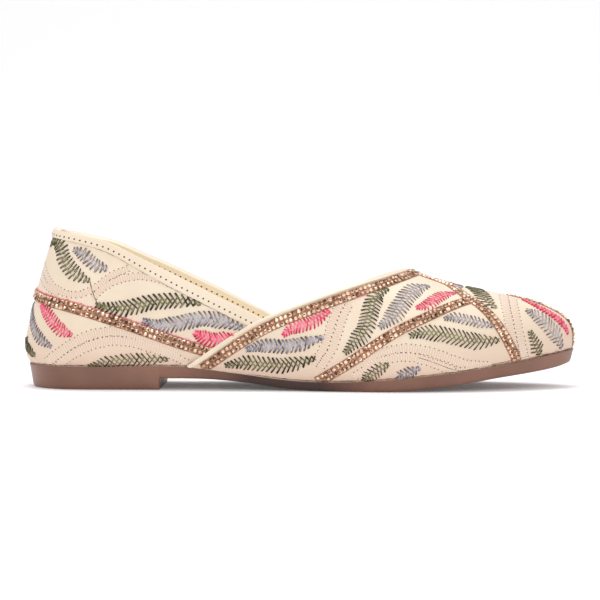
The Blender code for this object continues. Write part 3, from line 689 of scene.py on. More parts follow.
def line_on_leather(pixels, step, side=-1):
    """An evenly stepped line on the leather through pixels. Side 1 is its mirror image on the inner side."""
    points = np.array([seen_at(pixel) for pixel in spaced(pixels, PIXEL_STEP)])
    if side > 0:
        points[:, 1] = 2 * centre(points[:, 0]) - points[:, 1]
    return spaced(seat(points)[0], step)


def lines_on_both(pixels, step):
    return [line_on_leather(pixels, step, side) for side in SIDES]


def frames_along(points):
    """Along, out and across directions at each point of a line on the leather."""
    along = unit(np.gradient(points, axis=0))
    out = seat(points)[1]
    return along, out, unit(np.cross(out, along))


print("the middle of the picture shows the leather at", np.round(seen_at(AIM_PIXEL), 1))

# %% [markdown]
# New leather has few creases, and they sit where the sheet is forced: three short folds where the quarter
# is drawn under the lap beside the sole, a soft hollow behind the lap, a long dip over the heel seat, and a
# few short ones where the vamp is drawn round the forefoot. Each is a trough along a short line between two
# pixels, with a depth and a width in millimetres, and its two ends fade out.

# %% Creases
CREASES = (
    {"from": (188, 368), "to": (198, 356), "depth": 0.55, "width": 0.9},
    {"from": (194, 369), "to": (203, 359), "depth": 0.5, "width": 0.8},
    {"from": (181, 369), "to": (190, 359), "depth": 0.3, "width": 1.0},
    {"from": (214, 322), "to": (236, 312), "depth": 0.35, "width": 3.5},
    {"from": (34, 366), "to": (100, 369), "depth": 0.3, "width": 1.4},
    {"from": (322, 379), "to": (345, 365), "depth": 0.35, "width": 1.6},
    {"from": (404, 381), "to": (414, 372), "depth": 0.3, "width": 1.2},
    {"from": (530, 363), "to": (541, 352), "depth": 0.3, "width": 1.2},
    {"from": (548, 359), "to": (556, 349), "depth": 0.3, "width": 1.2},
    {"from": (424, 268), "to": (444, 281), "depth": 0.25, "width": 3.0},
)
CREASE_STEP, END_FADE = 1.0, 0.12


def trough(sheet, start, end, depth, width):
    """How deep each point of a sheet lies in a trough along a line from start to end."""
    line = end - start
    share = np.clip(((sheet - start) @ line) / (line @ line), 0, 1)
    aside = np.linalg.norm(sheet - start - share[..., None] * line, axis=-1)
    return depth * np.exp(-((aside / width) ** 2)) * np.sin(np.pi * (END_FADE + (1 - 2 * END_FADE) * share))


for crease in CREASES:
    for line in lines_on_both([crease["from"], crease["to"]], CREASE_STEP):
        ends = line[0], line[-1], crease["depth"], crease["width"]
        quarter_lift -= trough(quarter_sheet, *ends)
        vamp_lift -= trough(vamp_sheet, *ends)
print(len(CREASES), "creases on each side")

# %% [markdown]
# With the creases in, both leathers become meshes. Their foot hangs a third of a millimetre lower, to meet
# the sole. The vamp's rear edge is folded in: down to the quarter where it laps it, and through to the
# lining along the throat. The lining is the same two sheets again, one wall further in, and a duller
# leather, painted paler than the upper: painted light for the inside of the shoe, which lies in shade.

# %% Quarter, vamp and lining
# Painted shade and reflected light: beside the sole the leather is painted pinker and darker.
BOUNCE_SHADE_HEIGHT, BOUNCE_SHADE_SHARE, BOUNCE_SHADE_FADE = 22.0, 0.75, 1.5
FOOT_DROP, LAP_SUNK = np.array([0, 0, 0.35]), 0.05


def painted_bounce_shade(sheet):
    """How much painted shade and reflected pink from the sole each point gets: most beside the sole, none a
    little way up.
    """
    above_sole = sheet[..., 2] - smooth(FEATHER_EDGE, "height", sheet[..., 0])
    return (BOUNCE_SHADE_SHARE * np.clip(1 - above_sole / BOUNCE_SHADE_HEIGHT, 0, 1) ** BOUNCE_SHADE_FADE).reshape(-1)


quarter = on_last(quarter_run, quarter_girth, quarter_lift)
sheet = np.concatenate([quarter[:1] - FOOT_DROP, quarter])
piece = make_sheet("quarter_leather", sheet, CREAM_LEATHER, "upper_leather", turned=True, tones=painted_bounce_shade(sheet))
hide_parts("upper")

rear_run, rear_girth, rear_lift = vamp_run[:, 0], vamp_girth[:, 0], vamp_lift[:, 0]
in_throat = np.abs(rear_girth) < 1 - notch_up(rear_girth)
fold = np.where(in_throat, WALL, lap_lift(rear_run, rear_girth) + LAP_SUNK)
folded = [on_last(rear_run, rear_girth, rear_lift - fold * share)[:, None] for share in (1, 0.5)]
vamp = on_last(vamp_run, vamp_girth, vamp_lift)
sheet = np.concatenate([*folded, vamp], axis=1)
sheet = np.concatenate([sheet[:1] - FOOT_DROP, sheet, sheet[-1:] - FOOT_DROP])
make_sheet("vamp_leather", sheet, CREAM_LEATHER, "upper_leather", tones=painted_bounce_shade(sheet))

inner_quarter = on_last(quarter_run, quarter_girth, -WALL)[:, ::2]
inner_vamp = on_last(vamp_run, vamp_girth, vamp_lift - WALL)[::2, ::2]
make_piece("lining", *joined(inner_quarter, inner_vamp, inward=True), LINING_LEATHER, "upper_leather")
SKIN = skin_of(quarter, vamp)

# %% [markdown]
# The sole is one moulded unit with a low heel block, a shallow arch and a little toe spring. A side profile
# could be extruded and trimmed, but this sole narrows towards the floor and follows the foot, so it is
# lofted: rings from the tread up to the leather, each a little wider, between the two sides of the foot.

# %% Shape of the sole
SOLE_PROUD, HEEL_BREAST, FOREFOOT_START = 0.8, 62.5, 136.0
SOLE_STEPS, SOLE_TOE, BREAST_STEPS = 240, 14, (0, 0.02, 0.6, 1.6)
ARCH = {"x": (HEEL_BREAST, 80, 92, 104, 118, FOREFOOT_START), "height": (5.0, 4.9, 4.2, 2.9, 0.9, 0)}
TOE_SPRING = {"x": (161, 176, 194, 212, 230, 240, 246.8), "height": (0, 0.8, 2.6, 5.3, 7.6, 9.2, 10.9)}
SOLE_EDGE = {
    "drawn_in": (2.6, 1.9, 1.45, 1.2, 0.8, 0.35, 0.0, 0.0),
    "share": (0, 0.05, 0.16, 0.3, 0.55, 0.82, 0.97, 1),
}


def underside(x):
    """Height of the tread: flat under heel and forefoot, arched between them, sprung at the toe."""
    arch = np.where((x > HEEL_BREAST) & (x < FOREFOOT_START), smooth(ARCH, "height", x), 0.0)
    return np.where(x >= TOE_SPRING["x"][0], smooth(TOE_SPRING, "height", x, level_start=True), arch)


def sole_runs(count):
    """Runs round the heel and along the foot, doubled at the heel breast so that its face stands upright."""
    heel = np.linspace(RUN_BACK, 0, count // 3)
    foot = np.linspace(0, RUN_TIP - SOLE_TOE, count)[1:]
    toe = RUN_TIP - SOLE_TOE * np.linspace(1, 0, count // 3)[1:] ** 2
    return np.sort(np.concatenate([heel, foot, toe, HEEL_BREAST - HEEL_CENTRE + np.array(BREAST_STEPS)]))


def sole_ring(runs, side, drawn_in, share):
    """One side of a ring: drawn in from the leather's foot, and some share of the way up from the tread."""
    ring = on_last(runs, side, SOLE_PROUD - drawn_in)
    low = underside(on_last(runs, side)[:, 0])
    ring[:, 2] = low + (ring[:, 2] - GAP - low) * share
    return ring


def sole_shell(runs):
    """Points and faces of the sole: its rings on both sides of the foot, closed below and above by strips."""
    edge = list(zip(SOLE_EDGE["drawn_in"], SOLE_EDGE["share"]))
    sides = [[sole_ring(runs, side, *row) for row in edge] for side in SIDES]
    levels, count = len(edge), len(runs)
    to_inner = levels * count
    faces = [grid_faces(levels, count), grid_faces(levels, count, first=to_inner)[:, ::-1]]
    for level, turn in ((0, -1), (levels - 1, 1)):
        outer = level * count + np.arange(count - 1)
        quads = np.column_stack([outer, outer + 1, outer + to_inner + 1, outer + to_inner])
        faces.append(quads[:, ::turn])
    return np.reshape(sides, (-1, 3)), np.vstack(faces)


points, faces = sole_shell(sole_runs(SOLE_STEPS))
print("sole of", len(faces), "faces, arch", float(underside(HEEL_BREAST + 1).round(1)), "mm high behind")

# %% [markdown]
# The sole is a warm brown with a fine moulded grain and a surface that isn't quite even. Two noises in the
# bump do that, where a carved mesh would need far more faces. The mesh's tone darkens its waist towards a
# deep brown: painted shade, for the shadow that lies under the arch.

# %% Sole
# The waist tone is painted shade: at tone 1 the sole's ramp reaches the deep brown of the shadow under the
# arch.
PAINTED_WAIST_SHADE = {"x": (74, 92, 104, 126, 140, 158), "tone": (0, 0.35, 0.85, 1, 0.6, 0)}
SOLE_BROWN_AND_WAIST_SHADE = [(0.14, chart(131, 92, 75)), (0.28, chart(115, 78, 63)), (1.0, chart(62, 40, 34))]
SOLE_SHARP = 40


def moulded_brown():
    material = new_finish("brown_sole", Roughness=0.42)
    colour(material, clouded_tone(material, size=22, detail=2), SOLE_BROWN_AND_WAIST_SHADE)
    bump(material, noise(material, 0.5, 3), depth=0.03, strength=0.5)
    bump(material, noise(material, 5.0, 1), depth=0.12, strength=0.4)
    return material


waist = smooth(PAINTED_WAIST_SHADE, "tone", points[:, 0], True, True)
sole = make_piece("moulded_sole", points, faces, moulded_brown(), "sole_unit", waist, sharp=SOLE_SHARP)
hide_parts("outsole")

# %% [markdown]
# The quarter's top edge is bound: a strip of leather is sewn on outside, rolled over the edge and stuck
# down inside. It could be a bevelled curve, but a curve can't hug both faces of the leather. Here a short
# profile of the strip, given as how far down from the edge and how far out of the leather, is carried along
# the edge. The strip narrows towards the heel, its foot wavers a little, and its inside is painted paler:
# painted light on a face that lies in shade.

# %% Binding of the top edge
BINDING_DOWN, BINDING_INSIDE, BINDING_THICK, ROLL_RISE, BINDING_TUCK = 6.3, 8.4, 0.6, 0.6, 4.0
BINDING_STEPS, HOLE_DOWN, INSIDE_HOLE_DOWN, HOLE_PITCH, HOLE_RADIUS = 321, 4.15, 2.9, 2.65, 0.43
BINDING_SHARE = {"x": (-44, -9, 13, 41), "share": (0.64, 0.64, 0.8, 1.06)}
OUTSIDE_DOWNS, INSIDE_DOWNS, ROLL_TURNS = (5.2, HOLE_DOWN, 2.8, 1.4), (1.4, 4.0, 7.0), np.arange(12, 169, 12)
FOOT_WAVE, FOOT_TURN, FOOT_JITTER, FOOT_FROM, THIN_FROM, THINNEST = 0.10, 1.9, 0.06, 6, 14, 0.1
BINDING_SHARP = 50


def top_edge(count):
    """Runs, top girths, girth per millimetre and way left, along the top edge from lap to lap."""
    s = np.linspace(-1, 1, count)
    side = np.where(s < 0, -1, 1)
    end = np.where(s < 0, *NOTCH_RUNS) + BINDING_TUCK
    run = RUN_BACK + (end - RUN_BACK) * np.abs(s)
    half = on_last(run[:, None], side[:, None] * (1 - SHARES)[None, :])
    per_mm = side / np.linalg.norm(np.diff(half, axis=1), axis=2).sum(axis=1)
    return run, top_girth(run, side), per_mm, end - run


def binding_profile():
    """Pairs of down and lift: up the outside, over the roll and down the inside."""
    outside = [(BINDING_DOWN, -0.05), (BINDING_DOWN, 0.3), (BINDING_DOWN - 0.25, 0.5)]
    outside += [(down, BINDING_THICK) for down in OUTSIDE_DOWNS]
    reach = WALL / 2 + BINDING_THICK
    turns = np.radians(ROLL_TURNS)
    roll = [(ROLL_RISE * (1 - math.sin(turn)), reach * math.cos(turn) - WALL / 2) for turn in turns]
    inside = [(down, -WALL - BINDING_THICK) for down in INSIDE_DOWNS]
    return outside + roll + inside + [(BINDING_INSIDE, -WALL - 0.45), (BINDING_INSIDE + 0.1, -WALL + 0.05)]


binding_run, binding_girth, girth_per_mm, to_end = top_edge(BINDING_STEPS)
narrowing = smooth(BINDING_SHARE, "share", binding_run, True, True)
wave = FOOT_WAVE * np.sin(np.arange(BINDING_STEPS) * FOOT_TURN)
wave += FOOT_JITTER * rng.standard_normal(BINDING_STEPS)
thinning = np.clip(to_end / THIN_FROM, THINNEST, 1)


def below_edge(down, lift, ripple=0.0):
    """A line some way down from the top edge and out of the leather. Inside, it thins out at the laps."""
    lifts = np.where(lift < -WALL, -WALL + (lift + WALL) * thinning, lift)
    return on_last(binding_run, binding_girth + girth_per_mm * (down * narrowing + ripple), lifts)


rows, tones = [], []
for down, lift in binding_profile():
    outside = lift > -WALL / 2
    rows.append(below_edge(down, lift, wave if outside and down > FOOT_FROM else 0.0))
    # Inside rows take the paler cream: painted light where the binding's inside lies in shade.
    tones += [0.0 if outside else PAINTED_LIGHT_TONE] * BINDING_STEPS
binding = make_sheet(
    "edge_binding", np.array(rows), BINDING_LEATHER, "binding_leather", turned=True,
    tones=tones, sharp=BINDING_SHARP,
)
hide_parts("topline_binding")

# %% [markdown]
# A row of needle holes shows along the binding, outside and, nearer the edge, inside. A hole is a dimple
# not quite a millimetre across, dark with the shade in it. Cutting hundreds with a Boolean would be slow and
# fragile, so each is a tiny dark dish set just on the leather, its brown a painted shade.

# %% Needle holes
DISH_MIDDLE, DISH_RIM, DISH_SIDES, OUTWARD_STEP, STEEP = 0.012, 0.05, 8, 0.5, 0.9


def dishes(centres, outs, radius, sides=DISH_SIDES):
    """Points and faces of small dishes: a rim just over the surface and a middle sunk almost to it."""
    helper = np.where(np.abs(outs[:, 2:]) < STEEP, (0.0, 0.0, 1.0), (1.0, 0.0, 0.0))
    first = unit(np.cross(outs, helper))
    second = np.cross(outs, first)
    turns = np.linspace(0, 2 * math.pi, sides, endpoint=False)
    rim = np.cos(turns)[None, :, None] * first[:, None] + np.sin(turns)[None, :, None] * second[:, None]
    middles, outs = centres[:, None], outs[:, None]
    points = np.concatenate([middles + outs * DISH_MIDDLE, middles + rim * radius + outs * DISH_RIM], axis=1)
    k = np.arange(sides)
    fan = np.column_stack([np.zeros(sides, int), k + 1, (k + 1) % sides + 1])
    faces = (fan[None] + (np.arange(len(centres)) * (sides + 1))[:, None, None]).reshape(-1, 3)
    return points.reshape(-1, 3), faces


# The dishes' brown is painted shade for the depth of each needle hole.
HOLE_SHADE_BROWN = [(0.3, chart(62, 40, 28)), (0.7, chart(92, 62, 44))]
HOLE_SHADE = mottled("needle_hole", roughness=0.8, size=1.0, stops=HOLE_SHADE_BROWN)
centres, outs = [], []
for lift, down in ((BINDING_THICK, HOLE_DOWN), (-WALL - BINDING_THICK, INSIDE_HOLE_DOWN)):
    line = below_edge(down, lift)
    lifts = np.where(lift < 0, -WALL - BINDING_THICK * thinning, lift) + np.sign(lift) * OUTWARD_STEP
    further = on_last(binding_run, binding_girth + girth_per_mm * down * narrowing, lifts)
    lengths = lengths_along(line)
    places = np.arange(HOLE_PITCH, lengths[-1], HOLE_PITCH)
    centres.append(at_lengths(places, lengths, line))
    outs.append(unit(at_lengths(places, lengths, further - line)))
holes = dishes(np.vstack(centres), np.vstack(outs), HOLE_RADIUS)
make_piece("binding_holes", *holes, HOLE_SHADE, "binding_leather")

# %% [markdown]
# The vamp's free edge is finished with its own narrow strip, rolled over the edge like piping and left
# plain. It is made the same way as the tapes that follow: a line on the leather, and a profile of aside and
# lift carried along it. Each profile point is first dropped onto the leather, so the strip bends with the
# foot instead of floating off it. Behind the edge it turns down onto the quarter, or, along the throat,
# down over the lining.

# %% Edging of the vamp
EDGING_WIDTH = {"up": (0.1, 0.6), "width": (1.9, 1.0)}
EDGING_HEIGHT, EDGING_ROUND, EDGING_FOOT, EDGING_SUNK, EDGING_SHARP = 0.7, 0.8, 0.15, 0.05, 60
EDGING_TURNS, TURN_BACK, TURN_LIFT, TURN_SHARES = (0, 25, 50, 75, 100, 125, 150), 0.3, 0.2, (0, 0.35, 0.7)
LAP_TURN_IN, THROAT_TURN_IN, QUARTER_SUNK, LINING_PROUD, NOTCH_FADE = 0.4, 4.0, 0.02, 0.35, 0.08


def strip(line, across, profile):
    """Rows of points along a line on the leather, one for each (aside, lift) of a profile."""
    rows = []
    for aside, lift in profile:
        rows.append(seat(line + across * np.reshape(aside, (-1, 1)), lift)[0])
    return rows


edge_up = 1 - np.abs(rear_girth)
edging_width = np.interp(edge_up, EDGING_WIDTH["up"], EDGING_WIDTH["width"])
edge_line = on_last(rear_run, rear_girth, rear_lift)
_, edge_out, edge_across = frames_along(edge_line)
if edge_across[0, 0] < 0:
    edge_across = -edge_across
past_notch = np.clip((edge_up - notch_up(rear_girth)) / NOTCH_FADE, 0, 1)
turn_down = -rear_lift - QUARTER_SUNK + (rear_lift - WALL - LINING_PROUD) * past_notch
profile = [(edging_width, -EDGING_SUNK)]
for turn in np.radians(EDGING_TURNS):
    lift = EDGING_HEIGHT * math.sin(turn) ** EDGING_ROUND if turn else EDGING_FOOT
    profile.append((edging_width / 2 * (1 + math.cos(turn)), lift))
rows = strip(edge_line, edge_across, profile)
for share in TURN_SHARES:
    rows.append(edge_line - edge_across * TURN_BACK + edge_out * (turn_down * share + TURN_LIFT)[:, None])
turned_down = edge_line + edge_out * turn_down[:, None]
turn_in = LAP_TURN_IN + THROAT_TURN_IN * past_notch
rows += [turned_down, turned_down + edge_across * turn_in[:, None]]
# The turned-down rows take the paler cream: painted light where they lie in shade.
tones = np.repeat(np.where(np.arange(len(rows)) < len(profile), 0.0, PAINTED_LIGHT_TONE), len(edge_line))
edging = make_sheet(
    "edge_roll", np.array(rows), BINDING_LEATHER, "binding_leather", tones=tones, sharp=EDGING_SHARP
)
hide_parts("vamp_edging")

# %% [markdown]
# The insole is a thin padded sock of the lining leather, glued down inside the foot. Cloth simulation would
# swell it, but a pad this thin only crowns a little between its edges, so its top is drawn as a shallow
# arch across the foot with a faint footbed under the heel. Its rounded rim swells out to meet the lining,
# so that no slit shows.

# %% Insole
INSOLE_THICK, INSOLE_GAP, INSOLE_CROWN, CROWN_START, CROWN_FULL = 3.0, 0.4, 0.7, -40, 20
HEEL_DISH, DISH_RUN, DISH_LENGTH = 0.5, -6, 24
INSOLE_RIM = {"inset": (0.0, -0.9, -1.1, -0.8, -0.1), "height": (0.0, 0.62, 0.82, 0.95, 1.0)}
INSOLE_STEPS, INSOLE_ACROSS = 150, 25
insole_runs = sole_runs(INSOLE_STEPS)


def insole_edge(side, inset, share):
    """A line of the rim: inset from the wall, some share of the thickness up, wider under the vamp."""
    under_vamp = np.clip((insole_runs - edge_run(side)) / TUCK_UNDER, 0, 1)
    room = under_vamp * lap_lift(insole_runs, side)
    line = on_last(insole_runs, side, room - WALL - INSOLE_GAP - inset)
    line[:, 2] += INSOLE_THICK * share
    return line


def insole_rows():
    """Points from the outer edge to the inner edge, row by row."""
    rim = list(zip(INSOLE_RIM["inset"], INSOLE_RIM["height"]))
    outer, inner = ([insole_edge(side, *row) for row in rim] for side in SIDES)
    crown = INSOLE_CROWN * np.clip((insole_runs - CROWN_START) / (CROWN_FULL - CROWN_START), 0, 1)
    footbed = HEEL_DISH * np.exp(-(((insole_runs - DISH_RUN) / DISH_LENGTH) ** 2))
    top = []
    for share in np.linspace(0, 1, INSOLE_ACROSS)[1:-1]:
        row = outer[-1] * (1 - share) + inner[-1] * share
        row[:, 2] += np.sin(math.pi * share) * (crown - footbed)
        top.append(row)
    return np.array(outer + top + inner[::-1])


insole = make_sheet("padded_insole", insole_rows(), LINING_LEATHER, "insole_leather")
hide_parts("insole")

# %% [markdown]
# The bright lines on the shoe are tapes of small copper coloured stones, two rows side by side on a woven
# ground. The tapes run along the vamp's edge, across it, round the toe and round the heel. Each is a line
# on the leather: some known by height, some by how far up the foot they lie. The same tables gave the
# solids their tapes.

# %% Lines of the tapes
HEEL_TAPE = {"x": (-44, -9.7, 16.6, 44, 58.6), "height": (42, 37.8, 30.2, 20.8, 16.4)}
CROSS_TAPE = {"x": (132.4, 148, 165.4, 182.8, 200.2), "up": (0, 0.126, 0.292, 0.452, 0.653)}
TOE_TAPE = {
    "x": (177, 185.5, 190.5, 197.4, 206.6, 213.9, 219.4, 221.3),
    "up": (0.955, 0.943, 0.893, 0.723, 0.542, 0.33, 0.102, 0),
}
CENTRE_TAPE_START, CENTRE_TAPE_END, TAPE_WIDTH, TAPE_THICK = 217.0, 0.96, 5.0, 0.3
LINE_STEPS, CREST_STEPS, TIP_STEPS, BESIDE_TIP, TAPE_STEP = 120, 60, 24, 0.05, 0.8


def table_line(table, side):
    """A line on one side of the vamp that is known by how far up the foot it lies."""
    x = np.linspace(table["x"][0], table["x"][-1], LINE_STEPS)
    return seat(on_last(x - HEEL_CENTRE, side * (1 - smooth(table, "up", x))))[0]


def heel_line():
    """The line of the heel tape, from the outer lap round the heel to the inner."""
    runs = np.linspace(RUN_BACK, HEEL_TAPE["x"][-1], LINE_STEPS)
    heights = smooth(HEEL_TAPE, "height", runs, level_start=True)
    outer, inner = (on_last(runs, girth_at_height(runs, side, heights)) for side in SIDES)
    return seat(np.vstack([outer[::-1], inner[1:]]))[0]


def centre_line():
    """The line of the centre tape: along the crest to the tip, and down the tip to the sole."""
    runs = np.linspace(CENTRE_TAPE_START - HEEL_CENTRE, RUN_TIP - BESIDE_TIP, CREST_STEPS)
    down_tip = np.linspace(BESIDE_TIP, CENTRE_TAPE_END, TIP_STEPS)
    return seat(np.vstack([on_last(runs, 0.0), on_last(RUN_TIP, -down_tip)]))[0]


throat_aside = edging_width + GAP + TAPE_WIDTH / 2
throat_line = seat(edge_line + edge_across * throat_aside[:, None])[0]
TAPES = {"heel_trim": heel_line(), "throat_trim": throat_line, "centre_trim": centre_line()}
for side, name in zip(SIDES, ("outer", "inner")):
    TAPES[f"cross_trim_{name}"] = table_line(CROSS_TAPE, side)
    TAPES[f"toe_trim_{name}"] = table_line(TOE_TAPE, side)
for name, line in TAPES.items():
    TAPES[name] = spaced(line, TAPE_STEP)
    print(name, round(TAPE_STEP * len(TAPES[name])), "mm")

# %% [markdown]
# The ground of a tape is a thin brown ribbon. Its stones shine like coloured metal, as foil-backed ones do.
# Clear glass over foil could be modelled, but it needs a busy room to sparkle in, and this studio is plain.
# Instead every facet carries its own tone, from dark bronze to a pale flash: painted reflections and a
# painted highlight, because a real stone shows some facets bright and some dark from any side.

# %% Ribbon and stone
def ribbon_ground():
    browns = [(0.35, chart(112, 74, 55)), (0.7, chart(190, 146, 116))]
    material = mottled("tape_ground", roughness=0.5, size=0.8, stops=browns)
    bump(material, noise(material, 0.35), depth=0.1, strength=0.8)
    return material


def cut_stone():
    material = new_finish("cut_stone", Roughness=0.3, Metallic=0.8)
    colour(material, tone(material), [
        (0.0, chart(60, 34, 25)), (0.25, chart(142, 98, 76)), (0.55, chart(206, 162, 132)),
        (0.8, chart(238, 200, 172)), (1.0, chart(252, 228, 204)),
    ])
    return material


GROUND, STONE = ribbon_ground(), cut_stone()
print("tape finishes:", GROUND.name, STONE.name)

# %% [markdown]
# The stones are small cut domes: a foot, a girdle, a smaller table and the facets between, each facet flat.
# They could be instances of one mesh, but each is turned, tilted and toned by chance, as glued stones are.
# All stones of a tape are one mesh on a ribbon with rounded edges.

# %% Stone tapes
STONE_PITCH, STONE_ASIDE, STONE_RADIUS, STONE_RISE, STONE_SIDES = 2.1, 1.2, 1.08, 0.7, 6
ROW_STARTS, LAST_STONE = {-1: 0.5, 1: 0.62}, 0.4
ASIDE_JITTER, TILT_JITTER, RISE_RANGE = 0.04, 0.14, (0.9, 1.1)
GIRDLE_SUNK, GIRDLE_SHARE, GIRDLE_RISE, TABLE_SHARE, STONE_CLEAR = 0.1, 0.96, 0.4, 0.48, 0.9
# Facet tones are painted reflections: darker girdle facets, and a flash that is a painted highlight to one
# side.
STONE_TONE, GIRDLE_TONE, CROWN_TONE, FACET_SPREAD = (0.56, 0.18), -0.2, 0.04, 0.13
DARK_TABLES, DARK_TABLE, BRIGHT_TABLE = 0.5, (0.0, 0.25), (0.45, 0.95)
FLASH_WAY, FLASH_SPREAD, FLASH = -0.7, 0.5, 0.36
TAPE_PROFILE = ((2.5, -0.05), (2.45, 0.2), (2.1, 0.3), (0.0, 0.3), (-2.1, 0.3), (-2.45, 0.2), (-2.5, -0.05))


def stone_points(ring, tilt):
    """A stone's three rings of points about its middle: its foot, its girdle and its table."""
    rise = tilt * STONE_RISE * rng.uniform(*RISE_RANGE)
    foot, girdle = ring - tilt * GIRDLE_SUNK, ring * GIRDLE_SHARE + rise * GIRDLE_RISE
    return np.vstack([foot, girdle, ring * TABLE_SHARE + rise])


def stone_tones(spin):
    """A stone's face tones, painted reflections: its girdle, darker, its crown facets, with a painted
    highlight to one side, and its table.
    """
    base = np.clip(rng.normal(*STONE_TONE), 0.05, 0.95)
    table = rng.uniform(*(DARK_TABLE if rng.random() < DARK_TABLES else BRIGHT_TABLE))
    flash = FLASH * np.cos(spin + math.pi / STONE_SIDES - FLASH_WAY - rng.normal(0, FLASH_SPREAD))
    facets = np.concatenate([base + GIRDLE_TONE + flash, base + CROWN_TONE + flash])
    return np.clip(rng.normal(facets, FACET_SPREAD), 0, 1).tolist() + [table]


def stones_on(line):
    """Points, faces and face tones of the stones along a line, in two staggered rows."""
    along, out, across = frames_along(line)
    lengths = lengths_along(line)
    turns = np.linspace(0, 2 * math.pi, STONE_SIDES, endpoint=False) + math.pi / STONE_SIDES
    quads = grid_faces(3, STONE_SIDES, close_columns=True).tolist()
    stone_faces = quads + [list(range(2 * STONE_SIDES, 3 * STONE_SIDES))]
    points, faces, tones = [], [], []
    for row, start in ROW_STARTS.items():
        for place in np.arange(STONE_PITCH * start, lengths[-1] - LAST_STONE, STONE_PITCH):
            k = int(np.clip(np.searchsorted(lengths, place), 1, len(line) - 1))
            aside = across[k] * (row * STONE_ASIDE + rng.normal(0, ASIDE_JITTER))
            middle = seat(at_lengths([place], lengths, line) + aside, TAPE_THICK)[0][0]
            if middle[2] < smooth(FEATHER_EDGE, "height", middle[0]) + STONE_CLEAR:
                continue
            tilted = along[k] * rng.normal(0, TILT_JITTER) + across[k] * rng.normal(0, TILT_JITTER)
            spin = turns + rng.uniform(0, math.pi)
            ring = np.cos(spin)[:, None] * along[k] + np.sin(spin)[:, None] * across[k]
            faces += [[corner + 3 * STONE_SIDES * len(points) for corner in face] for face in stone_faces]
            points.append(middle + stone_points(ring * STONE_RADIUS, unit(out[k] + tilted)))
            tones += stone_tones(spin)
    return np.vstack(points), faces, tones


for name, line in TAPES.items():
    rows = strip(line, frames_along(line)[2], TAPE_PROFILE)
    ground = make_sheet(name + "_ground", np.array(rows), GROUND, "stone_tape")
    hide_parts(name)
    points, faces, tones = stones_on(line)
    stones = make_piece(name + "_stones", points, faces, STONE, "stone_tape")
    stones.data.shade_flat()
    set_tones(stones.data, tones, "FACE")

# %% [markdown]
# Feather sprays are worked all over the leather in green, blue-grey and pink thread, a common figure of
# this kind of embroidery. Each follows a short bent spine, given by a few pixels of the photograph. The
# table also gives the pitch and the length of its barbs in millimetres, and how far their tips lag behind
# as a share of that length. Some sprays have stouter or finer thread than the rest, or a longer or shorter
# taper at their start.

